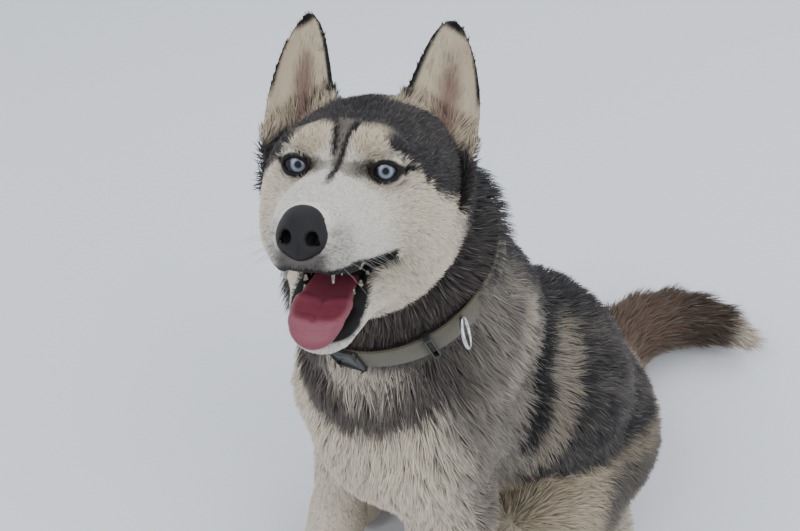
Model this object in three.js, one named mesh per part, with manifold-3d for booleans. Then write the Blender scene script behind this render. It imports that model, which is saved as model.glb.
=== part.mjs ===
// A sitting Siberian husky at life size, in millimetres, +Z up. The dog faces -Y and its left side is +X.
// The outline is that of the coat. Soft rounded masses are blended into one body field, the field is
// turned into closed meshes, and thin cuts part the body where a person would name its parts.
import * as THREE from "three";
import { mergeVertices } from "three/addons/utils/BufferGeometryUtils.js";
import Module from "manifold-3d";

const wasm = await Module();
wasm.setup();

// Driving dimensions
const FIT_GAP = 0.35; // clearance left between neighbouring pieces
const BODY_CELL = 29; // facet size on the trunk, legs and tail
const NECK_CELL = 21; // facet size on the neck
const HEAD_CELL = 14; // facet size on the head
const NOSE_CELL = 6; // facet size on the bare nose
const EYE_RADIUS = 11;
const EYE_SPACING = 62; // centre to centre
const MUZZLE_LENGTH = 96; // from the stop to the tip of the nose
const EAR_WALL = 5; // thickness of the ear with its coat
const JAW_DROP = 27; // degrees that the lower jaw hangs open
const COLLAR_RADIUS = 92;
const COLLAR_WIDTH = 25;
const COLLAR_THICKNESS = 3;

// The head is modelled in its own axes: left, forward, up from the middle of the skull.
const HEAD_CENTRE = new THREE.Vector3(10, -130, 664);
const HEAD_YAW = 37.4; // degrees towards the dog's left
const HEAD_PITCH = 31.7; // degrees upwards
const HEAD_ROLL = -3.2; // degrees, left ear down

const radians = THREE.MathUtils.degToRad;

function headAxes() {
  const yaw = radians(HEAD_YAW);
  const pitch = radians(HEAD_PITCH);
  const roll = radians(HEAD_ROLL);
  const forward = new THREE.Vector3(
    Math.sin(yaw) * Math.cos(pitch),
    -Math.cos(yaw) * Math.cos(pitch),
    Math.sin(pitch),
  );
  const level = new THREE.Vector3(Math.cos(yaw), Math.sin(yaw), 0);
  const above = new THREE.Vector3().crossVectors(forward, level);
  const left = level.clone().multiplyScalar(Math.cos(roll)).addScaledVector(above, -Math.sin(roll));
  const up = above.clone().multiplyScalar(Math.cos(roll)).addScaledVector(level, Math.sin(roll));
  return new THREE.Matrix4().makeBasis(left, forward, up).setPosition(HEAD_CENTRE);
}

const HEAD_TO_BODY = headAxes();
const BODY_TO_HEAD = HEAD_TO_BODY.clone().invert();

// A rounded mass between two points, whose section is an ellipse: wide scales it along side.
function bone(a, b, radiusA, radiusB, { side = null, wide = 1, blend = 30 } = {}) {
  const start = new THREE.Vector3(...a);
  const along = new THREE.Vector3(...b).sub(start);
  const lengthSquared = along.lengthSq();
  const across = side ? new THREE.Vector3(...side).normalize() : null;
  const offset = new THREE.Vector3();
  const distance = (p) => {
    offset.subVectors(p, start);
    const t = Math.min(1, Math.max(0, offset.dot(along) / lengthSquared));
    offset.addScaledVector(along, -t);
    if (across) offset.addScaledVector(across, offset.dot(across) * (1 / wide - 1));
    return (offset.length() - (radiusA + (radiusB - radiusA) * t)) * Math.min(1, wide);
  };
  return { distance, blend };
}

// An ellipsoid with its three radii along x, y, z, tilted about x by tilt degrees.
function ball(centre, radii, { blend = 30, tilt = 0 } = {}) {
  const [cx, cy, cz] = centre;
  const [rx, ry, rz] = radii;
  const c = Math.cos(radians(tilt));
  const s = Math.sin(radians(tilt));
  const distance = (p) => {
    const x = p.x - cx;
    const dy = p.y - cy;
    const dz = p.z - cz;
    const y = dy * c + dz * s;
    const z = dz * c - dy * s;
    const k0 = Math.hypot(x / rx, y / ry, z / rz);
    const k1 = Math.hypot(x / (rx * rx), y / (ry * ry), z / (rz * rz));
    return k1 > 0 ? (k0 * (k0 - 1)) / k1 : -Math.min(rx, ry, rz);
  };
  return { distance, blend };
}

function softUnion(a, b, blend) {
  const h = Math.max(blend - Math.abs(a - b), 0) / blend;
  return Math.min(a, b) - (h * h * blend) / 4;
}

function softCut(a, b, blend) {
  return -softUnion(-a, b, blend);
}

function blended(masses) {
  return (p) => masses.reduce((d, m) => softUnion(d, m.distance(p), m.blend), 1e6);
}

// Trunk: ribcage, loins and croup of a sitting dog, with the mane on the chest and withers
const trunkMasses = [
  bone([0, -56, 384], [0, 86, 276], 98, 106, { side: [1, 0, 0], wide: 1.06 }),
  ball([0, -112, 388], [68, 66, 112], { blend: 50, tilt: 6 }),
  ball([0, -12, 457], [68, 70, 60], { blend: 50 }),
  bone([0, 86, 276], [0, 166, 168], 106, 106, { side: [1, 0, 0], wide: 1.06, blend: 60 }),
  ball([0, 188, 108], [124, 104, 118], { blend: 50 }),
  bone([0, -90, 300], [0, 60, 165], 62, 66, { side: [1, 0, 0], wide: 1.1, blend: 60 }),
];

// Neck: thick with coat, raised towards the skull
const neckMasses = [
  bone([0, -66, 452], [2, -88, 560], 84, 84, { blend: 50 }),
  bone([2, -88, 560], [8, -102, 640], 84, 56, { blend: 40 }),
  bone([4, -122, 470], [12, -124, 566], 60, 56, { blend: 40 }),
];

function foreleg(side) {
  const x = (value) => side * value;
  return [
    ball([x(66), -84, 380], [38, 54, 86], { blend: 34, tilt: -18 }),
    bone([x(62), -106, 350], [x(80), -84, 262], 42, 42, { blend: 40 }),
    bone([x(80), -84, 262], [x(78), -112, 105], 42, 31, { blend: 30 }),
    bone([x(78), -112, 105], [x(77), -132, 40], 31, 30, { blend: 20 }),
    ball([x(77), -150, 25], [37, 48, 27], { blend: 18 }),
    ...[-25, -9, 9, 25].map((toe) =>
      ball([x(77) + toe, Math.abs(toe) > 20 ? -178 : -190, 19], [12.5, 21, 18], { blend: 9 }),
    ),
  ];
}

function hindleg(side) {
  const x = (value) => side * value;
  return [
    bone([x(72), 150, 150], [x(112), 12, 176], 92, 62, { side: [1, 0, 0], wide: 0.72, blend: 45 }),
    bone([x(112), 8, 172], [x(118), 142, 58], 54, 36, { side: [1, 0, 0], wide: 0.85, blend: 35 }),
    bone([x(118), 146, 42], [x(128), 2, 28], 33, 29, { blend: 22 }),
    ball([x(130), -22, 25], [38, 46, 27], { blend: 18 }),
    ...[-25, -9, 9, 25].map((toe) =>
      ball([x(131) + toe, Math.abs(toe) > 20 ? -48 : -60, 19], [12.5, 21, 18], { blend: 9 }),
    ),
  ];
}

// Tail: laid on the floor straight behind the dog, its tip swept round to the left
const tailCurve = new THREE.CatmullRomCurve3(
  [
    [0, 232, 82],
    [-42, 322, 56],
    [-78, 405, 50],
    [-60, 490, 50],
    [-8, 540, 47],
    [30, 556, 40],
  ].map((p) => new THREE.Vector3(...p)),
);
const TAIL_STEPS = 9;

function tailMasses() {
  const radiusAt = (t) => 36 + 15 * Math.sin(Math.PI * Math.min(1, t * 0.75 + 0.15)) - 16 * t ** 5;
  return Array.from({ length: TAIL_STEPS }, (_, i) => {
    const t = i / TAIL_STEPS;
    const next = (i + 1) / TAIL_STEPS;
    const a = tailCurve.getPoint(t).toArray();
    const b = tailCurve.getPoint(next).toArray();
    return bone(a, b, radiusAt(t), radiusAt(next), { blend: 16 });
  });
}

// Skull, muzzle and cheeks in head axes: left, forward, up
const BOTH = [-1, 1];
const STOP = 60; // forward place of the stop between the eyes
const NOSE_TIP = STOP + MUZZLE_LENGTH;
const NOSE = [0, NOSE_TIP - 15, -29];
const EYE = [EYE_SPACING / 2, 60, 2];
const skullMasses = [
  ball([0, -8, -1], [60, 62, 48], { blend: 20 }),
  ball([0, 34, 0], [43, 32, 33], { blend: 20 }),
  ...BOTH.map((s) => ball([s * 27, 52, 17], [18, 16, 11], { blend: 16 })),
  bone([0, 50, -14], [0, NOSE_TIP - 24, -30], 26, 17, { side: [1, 0, 0], wide: 1.05, blend: 22 }),
  bone([0, 50, -32], [0, NOSE_TIP - 24, -38], 32, 22, { side: [1, 0, 0], wide: 1.0, blend: 18 }),
  ...BOTH.map((s) => bone([s * 20, 66, -49], [s * 10, NOSE_TIP - 26, -44], 18, 13, { blend: 14 })),
  ...BOTH.map((s) => ball([s * 40, 8, -14], [29, 40, 36], { blend: 20 })),
  ...BOTH.map((s) => ball([s * 43, 6, -50], [28, 42, 34], { blend: 22 })),
  ball([0, -40, -46], [58, 46, 52], { blend: 36 }),
];

const jawTilt = radians(JAW_DROP);
const JAW_HINGE = [0, 2, -44];
function onJaw(left, forward, up) {
  const f = forward - JAW_HINGE[1];
  const u = up - JAW_HINGE[2];
  return [
    left,
    JAW_HINGE[1] + f * Math.cos(jawTilt) + u * Math.sin(jawTilt),
    JAW_HINGE[2] + u * Math.cos(jawTilt) - f * Math.sin(jawTilt),
  ];
}

const jawMasses = [
  bone(onJaw(0, 34, -66), onJaw(0, 108, -60), 28, 15, { side: [1, 0, 0], wide: 1.1, blend: 24 }),
  ...BOTH.map((s) => bone(onJaw(s * 28, 22, -60), onJaw(s * 13, 104, -56), 18, 9, { blend: 18 })),
  ball(onJaw(0, 4, -72), [52, 46, 38], { blend: 34 }),
];

const trunkField = blended([...trunkMasses, ...neckMasses]);
const foreField = BOTH.map((s) => blended(foreleg(s)));
const hindField = BOTH.map((s) => blended(hindleg(s)));
const tailField = blended(tailMasses());
const skullField = blended(skullMasses);
const jawField = blended(jawMasses);

const inHead = new THREE.Vector3();
const sockets = BOTH.map((s) => ball([s * (EYE[0] + 4), EYE[1] + 9, EYE[2] - 1], [16, 11, 10]));
function skullAt(p) {
  const q = inHead.copy(p).applyMatrix4(BODY_TO_HEAD);
  return softCut(skullField(q), Math.min(...sockets.map((s) => s.distance(q))), 8);
}
function jawAt(p) {
  return jawField(inHead.copy(p).applyMatrix4(BODY_TO_HEAD));
}

// The mouth opens between the palate and the lowered jaw, back to the corners of the lips.
const LIP_CORNER = [0, 56, -60];
const LIP_LEVEL = -66;
const PALATE_LEVEL = -55;
const JAW_SLOPE = Math.tan(radians(JAW_DROP + 3));
function mouthAt(q) {
  const inner = THREE.MathUtils.smoothstep(Math.abs(q.x), 10, 20);
  const roof = PALATE_LEVEL + (LIP_LEVEL - PALATE_LEVEL) * inner;
  const floor = LIP_CORNER[2] - (q.y - LIP_CORNER[1]) * JAW_SLOPE;
  return Math.max(q.z - roof, floor - q.z, LIP_CORNER[1] - q.y);
}

function wholeBody(p) {
  let d = trunkField(p);
  for (const leg of foreField) d = softUnion(d, leg(p), 34);
  for (const leg of hindField) d = softUnion(d, leg(p), 26);
  return softUnion(d, tailField(p), 30);
}

function wholeDog(p) {
  const head = softUnion(skullAt(p), jawAt(p), 12);
  const body = softUnion(wholeBody(p), head, 34);
  return softCut(body, mouthAt(inHead.copy(p).applyMatrix4(BODY_TO_HEAD)), 5);
}

// Fills any cell whose inside or outside corners are not joined by its edges, because the net would
// pinch there and its mesh would not be one clean surface.
function fillPinches(values, at, [nx, ny, nz], corners, cell) {
  const oneGroup = (flags, wanted) => {
    const first = flags.indexOf(wanted);
    if (first < 0) return true;
    const seen = new Set([first]);
    for (const m of seen)
      [1, 2, 4].forEach((bit) => {
        if (flags[m ^ bit] === wanted) seen.add(m ^ bit);
      });
    return seen.size === flags.filter((f) => f === wanted).length;
  };
  let changed = true;
  for (let round = 0; changed && round < 30; round += 1) {
    changed = false;
    for (let k = 1; k < nz - 2; k += 1)
      for (let j = 1; j < ny - 2; j += 1)
        for (let i = 1; i < nx - 2; i += 1) {
          const places = corners.map(([a, b, c]) => at(i + a, j + b, k + c));
          const inside = places.map((n) => values[n] < 0);
          const faces = [1, 2, 4].flatMap((bit) => {
            const others = [1, 2, 4].filter((v) => v !== bit);
            return [0, bit].map((base) => [base, base | others[0], base | others[1], base | others[0] | others[1]]);
          });
          const crossed = faces.some(
            ([a, b, c, d]) => inside[a] === inside[d] && inside[b] === inside[c] && inside[a] !== inside[b],
          );
          if (!crossed && oneGroup(inside, true) && oneGroup(inside, false)) continue;
          const nearest = places
            .filter((n) => values[n] >= 0)
            .sort((a, b) => values[a] - values[b])[0];
          values[nearest] = -0.04 * cell;
          changed = true;
        }
  }
}

// Surface nets: one vertex in each cell that the surface crosses, then moved onto the field
function polygonise(field, low, high, cell) {
  const count = low.map((v, i) => Math.ceil((high[i] - v) / cell) + 2);
  const [nx, ny, nz] = count;
  const at = (i, j, k) => i + nx * (j + ny * k);
  const values = new Float64Array(nx * ny * nz);
  const p = new THREE.Vector3();
  for (let k = 0; k < nz; k += 1)
    for (let j = 0; j < ny; j += 1)
      for (let i = 0; i < nx; i += 1) {
        const rim = i === 0 || j === 0 || k === 0 || i === nx - 1 || j === ny - 1 || k === nz - 1;
        p.set(low[0] + i * cell, low[1] + j * cell, low[2] + k * cell);
        values[at(i, j, k)] = rim ? Math.max(cell / 2, field(p)) : field(p);
      }
  const vertexOf = new Map();
  const positions = [];
  const corners = [0, 1].flatMap((c) => [0, 1].flatMap((b) => [0, 1].map((a) => [a, b, c])));
  fillPinches(values, at, count, corners, cell);
  for (let k = 0; k < nz - 1; k += 1)
    for (let j = 0; j < ny - 1; j += 1)
      for (let i = 0; i < nx - 1; i += 1) {
        const d = corners.map(([a, b, c]) => values[at(i + a, j + b, k + c)]);
        if (d.every((v) => v < 0) || d.every((v) => v >= 0)) continue;
        const sum = [0, 0, 0];
        let crossings = 0;
        corners.forEach((from, m) => {
          [1, 2, 4].forEach((bit) => {
            const n = m | bit;
            if (n === m || d[m] < 0 === d[n] < 0) return;
            const t = d[m] / (d[m] - d[n]);
            const to = corners[n];
            for (let axis = 0; axis < 3; axis += 1)
              sum[axis] += from[axis] + (to[axis] - from[axis]) * t;
            crossings += 1;
          });
        });
        vertexOf.set(at(i, j, k), positions.length / 3);
        positions.push(
          low[0] + (i + sum[0] / crossings) * cell,
          low[1] + (j + sum[1] / crossings) * cell,
          low[2] + (k + sum[2] / crossings) * cell,
        );
      }
  const index = [];
  const steps = [
    [1, 0, 0],
    [0, 1, 0],
    [0, 0, 1],
  ];
  for (let k = 0; k < nz - 1; k += 1)
    for (let j = 0; j < ny - 1; j += 1)
      for (let i = 0; i < nx - 1; i += 1)
        steps.forEach((step, axis) => {
          if ([i, j, k].some((n, other) => other !== axis && n === 0)) return;
          const here = values[at(i, j, k)];
          const there = values[at(i + step[0], j + step[1], k + step[2])];
          if (here < 0 === there < 0) return;
          const u = steps[(axis + 1) % 3];
          const v = steps[(axis + 2) % 3];
          const around = [
            at(i, j, k),
            at(i - u[0], j - u[1], k - u[2]),
            at(i - u[0] - v[0], j - u[1] - v[1], k - u[2] - v[2]),
            at(i - v[0], j - v[1], k - v[2]),
          ].map((cellIndex) => vertexOf.get(cellIndex));
          const [a, b, c, e] = here < 0 ? around : [...around].reverse();
          index.push(a, b, c, a, c, e);
        });
  const onto = new THREE.Vector3();
  const probe = new THREE.Vector3();
  const gradient = new THREE.Vector3();
  for (let n = 0; n < positions.length; n += 3) {
    onto.set(positions[n], positions[n + 1], positions[n + 2]);
    const d = field(onto);
    ["x", "y", "z"].forEach((axis) => {
      probe.copy(onto)[axis] += 0.5;
      gradient[axis] = (field(probe) - d) / 0.5;
    });
    const step = THREE.MathUtils.clamp(d / Math.max(gradient.lengthSq(), 0.2), -cell / 3, cell / 3);
    onto.addScaledVector(gradient, -step);
    positions.splice(n, 3, ...onto.toArray());
  }
  return new THREE.BufferGeometry()
    .setAttribute("position", new THREE.Float32BufferAttribute(positions, 3))
    .setIndex(index);
}

// The volume that a closed geometry holds, negative where its faces point in
function heldVolume(positions, index) {
  const corners = [0, 1, 2].map(() => new THREE.Vector3());
  let sum = 0;
  for (let f = 0; f < index.length; f += 3) {
    corners.forEach((v, c) => v.fromArray(positions, 3 * index[f + c]));
    sum += corners[0].dot(corners[1].cross(corners[2])) / 6;
  }
  return sum;
}

// A closed geometry as a solid that can be cut and joined, its faces turned out, and back again
function solid(geometry) {
  const bare = geometry.clone();
  bare.deleteAttribute("normal");
  bare.deleteAttribute("uv");
  const merged = mergeVertices(bare, 1e-3);
  const vertProperties = new Float32Array(merged.attributes.position.array);
  const triVerts = new Uint32Array(merged.index.array);
  if (heldVolume(vertProperties, triVerts) < 0) triVerts.reverse();
  return new wasm.Manifold(new wasm.Mesh({ numProp: 3, vertProperties, triVerts }));
}

function geometryOf(manifold) {
  const mesh = manifold.getMesh();
  const positions = new Float32Array(mesh.numVert * 3);
  for (let i = 0; i < mesh.numVert; i += 1)
    positions.set(mesh.vertProperties.subarray(i * mesh.numProp, i * mesh.numProp + 3), i * 3);
  return new THREE.BufferGeometry()
    .setAttribute("position", new THREE.BufferAttribute(positions, 3))
    .setIndex(new THREE.BufferAttribute(mesh.triVerts, 1));
}

// The largest closed body of a cut, so that no crumb of the cut stays
function largest(manifold) {
  return manifold.decompose().sort((a, b) => b.volume() - a.volume())[0];
}

// Keeps what lies on the side of a plane that the direction points to, less half the gap
function keep(manifold, point, direction) {
  const n = new THREE.Vector3(...direction).normalize();
  const offset = n.dot(new THREE.Vector3(...point)) + FIT_GAP / 2;
  return manifold.trimByPlane(n.toArray(), offset);
}

function cut(manifold, plane, front) {
  return keep(manifold, plane.point, front ? plane.way : plane.way.map((v) => -v));
}

// A block between two corners, grown on every side
function block(low, high, grown = 0) {
  const size = high.map((v, i) => v - low[i] + 2 * grown);
  const geometry = new THREE.BoxGeometry(...size);
  geometry.translate(...low.map((v, i) => (v + high[i]) / 2));
  return geometry;
}

// A closed skin over a row of rings that hold the same number of points
function loft(rings) {
  const points = rings.flat();
  const around = rings[0].length;
  const index = [];
  for (let r = 0; r < rings.length - 1; r += 1)
    for (let i = 0; i < around; i += 1) {
      const a = r * around + i;
      const b = r * around + ((i + 1) % around);
      index.push(a, b, a + around, b, b + around, a + around);
    }
  [0, rings.length - 1].forEach((r) => {
    const middle = rings[r].reduce((sum, p) => sum.add(p), new THREE.Vector3()).divideScalar(around);
    points.push(middle);
    for (let i = 0; i < around; i += 1) {
      const a = r * around + i;
      const b = r * around + ((i + 1) % around);
      index.push(...(r === 0 ? [b, a, points.length - 1] : [a, b, points.length - 1]));
    }
  });
  return new THREE.BufferGeometry().setFromPoints(points).setIndex(index);
}

// Coat, bare skin, webbing and metal
const FINISH = {
  dark: new THREE.MeshStandardMaterial({ color: 0x434347, roughness: 0.95 }),
  pale: new THREE.MeshStandardMaterial({ color: 0xc6beaf, roughness: 0.95 }),
  nose: new THREE.MeshStandardMaterial({ color: 0x1b1a1d, roughness: 0.45 }),
  eye: new THREE.MeshStandardMaterial({ color: 0x8fabcf, roughness: 0.06 }),
  tongue: new THREE.MeshStandardMaterial({ color: 0x9c4455, roughness: 0.38 }),
  webbing: new THREE.MeshStandardMaterial({ color: 0x6a6655, roughness: 0.85 }),
  buckle: new THREE.MeshStandardMaterial({ color: 0x222220, roughness: 0.5 }),
  metal: new THREE.MeshStandardMaterial({ color: 0xb9b9bc, roughness: 0.25, metalness: 1 }),
};

const dog = new THREE.Group();
function add(name, manifold, material) {
  const mesh = new THREE.Mesh(geometryOf(largest(manifold)), material);
  mesh.name = name;
  dog.add(mesh);
}

// Cutting planes of the body: a point on each and the way it faces
const THROAT = { point: [4, -96, 596], way: [0.12, -0.4, 0.91] };
const NECK_BASE = { point: [0, -80, 496], way: [0, -0.34, 0.94] };
const WAIST = { point: [0, 84, 280], way: [0, -0.72, 0.69] };
const WRIST = { point: [78, -120, 66], way: [0, 0.2, -1] };
const HOCK = { point: [118, 60, 74], way: [0, 0.1, -1] };
const TAIL_ROOT = { point: [-14, 262, 60], way: [-0.3, 1, -0.1] };

// The body is cut flat at the floor, then its limbs are parted from it.
const onFloor = keep(
  solid(polygonise(wholeBody, [-225, -250, -33], [228, 640, 640], BODY_CELL)),
  [0, 0, -FIT_GAP / 2],
  [0, 0, 1],
);
const FORE_BLOCK = { inner: 1, outer: 300, back: -12, front: -300, top: 262 };
const HIND_BLOCK = { inner: 62, outer: 300, back: 274, front: -11, top: 212 };
const TOE_BLOCK = { inner: 92, outer: 300, back: -4, front: -88, top: 66 };

function limbBlock(shape, side, grown) {
  const xs = side > 0 ? [shape.inner, shape.outer] : [-shape.outer, -shape.inner];
  return solid(block([xs[0], shape.front, -40], [xs[1], shape.back, shape.top], grown));
}

let torso = onFloor;
for (const side of BOTH) {
  const word = side > 0 ? "left" : "right";
  const toes = (grown) => limbBlock(TOE_BLOCK, side, grown);
  const fore = onFloor.intersect(limbBlock(FORE_BLOCK, side, 0)).subtract(toes(FIT_GAP));
  const hind = onFloor.intersect(limbBlock(HIND_BLOCK, side, 0).add(toes(0)));
  add(`foreleg_${word}`, cut(fore, WRIST, false), FINISH.pale);
  add(`forepaw_${word}`, cut(fore, WRIST, true), FINISH.pale);
  add(`thigh_${word}`, cut(hind, HOCK, false), FINISH.dark);
  add(`hindpaw_${word}`, cut(hind, HOCK, true), FINISH.pale);
  torso = torso
    .subtract(limbBlock(FORE_BLOCK, side, FIT_GAP))
    .subtract(toes(FIT_GAP))
    .subtract(limbBlock(HIND_BLOCK, side, FIT_GAP));
}
add("tail", cut(torso, TAIL_ROOT, true), FINISH.dark);
const untailed = cut(torso, TAIL_ROOT, false);
add("hindquarters", cut(untailed, WAIST, false), FINISH.dark);
add("chest", cut(cut(untailed, WAIST, true), NECK_BASE, false), FINISH.dark);

// Collar: webbing round the neck, with a plastic side-release buckle and a steel ring
const COLLAR_CENTRE = new THREE.Vector3(4, -92, 552);
const COLLAR_TILT = 24; // degrees, higher at the nape
const COLLAR_DEPTH = 1.06; // front to back against side to side
const inCollar = new THREE.Matrix4()
  .makeRotationX(radians(90 + COLLAR_TILT))
  .setPosition(COLLAR_CENTRE);
inCollar.scale(new THREE.Vector3(1, 1, COLLAR_DEPTH));

function band(inner, outer, width, segments = 36) {
  const profile = [
    [inner, -width / 2],
    [outer, -width / 2],
    [outer, width / 2],
    [inner, width / 2],
    [inner, -width / 2],
  ].map(([r, y]) => new THREE.Vector2(r, y));
  return new THREE.LatheGeometry(profile, segments).applyMatrix4(inCollar);
}

// Places a piece on the collar, at an angle from the front towards the dog's left
function onCollar(geometry, degrees, outward) {
  const a = radians(degrees);
  geometry.rotateY(a);
  geometry.translate(Math.sin(a) * outward, 0, Math.cos(a) * outward);
  return geometry.applyMatrix4(
    new THREE.Matrix4().makeRotationX(radians(90 + COLLAR_TILT)).setPosition(COLLAR_CENTRE),
  );
}

// Planes and shapes given in head axes, moved to the body's
function headPlane(point, way) {
  const at = new THREE.Vector3(...point).applyMatrix4(HEAD_TO_BODY);
  const facing = new THREE.Vector3(...way).transformDirection(HEAD_TO_BODY);
  return { point: at.toArray(), way: facing.toArray() };
}

function headSolid(geometry) {
  return solid(geometry.applyMatrix4(HEAD_TO_BODY));
}

// A field of masses in head axes, polygonised there and moved to the body's axes
function headMasses(field, low, high, cell, scratch = new THREE.Vector3()) {
  return headSolid(polygonise((p) => field(scratch.copy(p)), low, high, cell));
}

const neckPart = solid(polygonise(wholeDog, [-132, -320, 430], [150, 70, 720], NECK_CELL));
const headPart = solid(polygonise(wholeDog, [-132, -320, 520], [150, 60, 815], HEAD_CELL));
const groove = solid(band(COLLAR_RADIUS - FIT_GAP, 190, COLLAR_WIDTH + 2 * FIT_GAP));
const neck = cut(cut(neckPart, NECK_BASE, true), THROAT, false);
add("collar", solid(band(COLLAR_RADIUS, COLLAR_RADIUS + COLLAR_THICKNESS, COLLAR_WIDTH)), FINISH.webbing);

const OUTSIDE = COLLAR_RADIUS + COLLAR_THICKNESS + FIT_GAP;
const BUCKLE_DEPTH = 9;
const BUCKLE_AT = [24, OUTSIDE * COLLAR_DEPTH + BUCKLE_DEPTH / 2];
const RING_RADIUS = 12;
const RING_BAR = 2;
const RING_AT = [80, OUTSIDE + RING_BAR + FIT_GAP];
const buckleShape = (grown) =>
  solid(onCollar(new THREE.BoxGeometry(34 + grown, 24 + grown, BUCKLE_DEPTH + grown), ...BUCKLE_AT));
const hoop = new THREE.TorusGeometry(RING_RADIUS, RING_BAR, 6, 18);
add("collar_buckle", buckleShape(0), FINISH.buckle);
add("collar_ring", solid(onCollar(hoop, ...RING_AT)), FINISH.metal);
const ringRoom = new THREE.CylinderGeometry(RING_RADIUS + 3, RING_RADIUS + 3, 60, 20);
ringRoom.rotateX(radians(90));
const roomAt = [RING_AT[0], RING_AT[1] + 30 - RING_BAR - FIT_GAP / 2];
add(
  "neck",
  neck.subtract(groove).subtract(buckleShape(2 * FIT_GAP)).subtract(solid(onCollar(ringRoom, ...roomAt))),
  FINISH.dark,
);

// Head: eyes and nose are let into it, and the open lower jaw is parted from it.
let head = cut(headPart, THROAT, true);

const NOSE_RADII = [17, 14, 14];
const noseMasses = [
  ball(NOSE, NOSE_RADII, { blend: 6 }),
  ball([0, NOSE[1] - 8, NOSE[2] + 6], [13, 12, 10], { blend: 8 }),
  ...BOTH.map((s) => ball([s * 11, NOSE[1] + 1, NOSE[2] - 3], [9, 11, 9], { blend: 5 })),
];
const noseField = blended(noseMasses);
const nostrils = BOTH.map((s) => ball([s * 9.5, NOSE_TIP - 2, NOSE[2] - 1], [3.2, 7, 3.6]));
function leather(q) {
  return softCut(noseField(q), Math.min(...nostrils.map((n) => n.distance(q))), 2);
}
const NOSE_LOW = [-31.5, NOSE[1] - 31.5, NOSE[2] - 27];
const NOSE_HIGH = [31.5, NOSE[1] + 27, NOSE[2] + 27];
const nose = headMasses(leather, NOSE_LOW, NOSE_HIGH, NOSE_CELL);
head = head.subtract(headMasses((q) => noseField(q) - 2 * FIT_GAP, NOSE_LOW, NOSE_HIGH, NOSE_CELL));
const NOSE_BACK = headPlane([0, NOSE[1] - 7, 0], [0, 1, 0.25]);
add("nose", cut(nose, NOSE_BACK, true), FINISH.nose);

for (const side of BOTH) {
  const eyeball = (grown) => {
    const globe = new THREE.SphereGeometry(EYE_RADIUS + grown, 14, 9);
    return headSolid(globe.translate(side * EYE[0], EYE[1] - 7.5, EYE[2]));
  };
  head = head.subtract(eyeball(FIT_GAP));
  add(side > 0 ? "eye_left" : "eye_right", eyeball(0), FINISH.eye);
}

// Ears: cupped shells, narrowing from a wide root to a rounded tip
const EAR_RINGS = 7;
const EAR_STEPS = 6;
const EAR_TOP = [59, -44, 109];
const EAR_INNER_ROOT = [24, -12, 36];
const EAR_OUTER_ROOT = [80, -18, 4];
function ear(side) {
  const rings = [];
  const top = new THREE.Vector3(...EAR_TOP);
  const innerRoot = new THREE.Vector3(...EAR_INNER_ROOT);
  const rootHalf = new THREE.Vector3(...EAR_OUTER_ROOT).sub(innerRoot).multiplyScalar(0.5);
  const rootMiddle = innerRoot.clone().add(rootHalf);
  for (let r = 0; r <= EAR_RINGS; r += 1) {
    const t = (r / EAR_RINGS) * 0.985;
    const spread = (1 - t ** 2.1) ** 0.58;
    const middle = rootMiddle.clone().lerp(top, t);
    middle.x += 3 * Math.sin(Math.PI * t);
    const inner = middle.clone().addScaledVector(rootHalf, -spread);
    const outer = middle.clone().addScaledVector(rootHalf, spread);
    const width = inner.distanceTo(outer);
    const cup = width * 0.3;
    const wall = EAR_WALL * (1 - 0.35 * t);
    const at = (u, depth) => {
      const p = inner.clone().lerp(outer, (u + 1) / 2);
      p.y -= cup * (1 - u * u) - depth;
      return new THREE.Vector3(p.x * side, p.y, p.z);
    };
    const ring = [];
    for (let i = 0; i <= EAR_STEPS; i += 1) ring.push(at((2 * i) / EAR_STEPS - 1, -wall / 2));
    for (let i = EAR_STEPS; i >= 0; i -= 1) ring.push(at((2 * i) / EAR_STEPS - 1, wall / 2));
    rings.push(ring);
  }
  return headSolid(loft(rings));
}
const earLift = new THREE.Vector3(0, -0.3, 0.9).transformDirection(HEAD_TO_BODY).multiplyScalar(0.45);
const lifted = head.translate(earLift.toArray());
for (const side of BOTH)
  add(side > 0 ? "ear_left" : "ear_right", ear(side).subtract(lifted), FINISH.dark);

// The jaw is all that lies below the line of the mouth and before a line down from its corners.
const MOUTH_LINE = headPlane(LIP_CORNER, [0, -Math.sin(radians(14)), -Math.cos(radians(14))]);
const CHEEK_LINE = headPlane(LIP_CORNER, [0, 0.8, -0.6]);
function jawWedge(grown) {
  const whole = headSolid(block([-110, -120, -210], [110, 220, 20]));
  const shift = (plane) => plane.point.map((v, i) => v - grown * plane.way[i]);
  return keep(keep(whole, shift(MOUTH_LINE), MOUTH_LINE.way), shift(CHEEK_LINE), CHEEK_LINE.way);
}
const jaw = largest(head.intersect(jawWedge(0)));
head = largest(head.subtract(jawWedge(FIT_GAP)));

// Canine teeth are joined to the jaws, pointing down above and up below.
const toothShape = () => new THREE.ConeGeometry(3.4, 18, 8);
let upper = head;
let lower = jaw;
for (const side of BOTH) {
  const above = toothShape().rotateX(radians(-90)).translate(side * 14, 128, -60);
  const below = toothShape().rotateX(radians(78)).translate(side * 11, 94, -92);
  upper = upper.add(headSolid(above));
  lower = lower.add(headSolid(below));
}
const tongueField = blended([
  bone([0, 50, -76], [0, 88, -87], 19, 21, { side: [1, 0, 0], wide: 1, blend: 4 }),
  bone([0, 88, -87], [0, 106, -98], 21, 17, { side: [1, 0, 0], wide: 1, blend: 6 }),
]);
const tongueSlab = blended([
  bone([0, 50, -76], [0, 88, -86], 5, 5, { side: [1, 0, 0], wide: 8, blend: 4 }),
  bone([0, 88, -86], [0, 108, -93], 5, 5, { side: [1, 0, 0], wide: 8, blend: 4 }),
  bone([0, 108, -93], [0, 118, -112], 5, 4, { side: [1, 0, 0], wide: 8, blend: 6 }),
]);
const tongueShape = (q) => Math.max(tongueField(q), tongueSlab(q));
const tongue = headMasses(tongueShape, [-35, 20, -135], [35, 140, -51], 8);
let tongueOut = tongue.subtract(upper);
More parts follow.
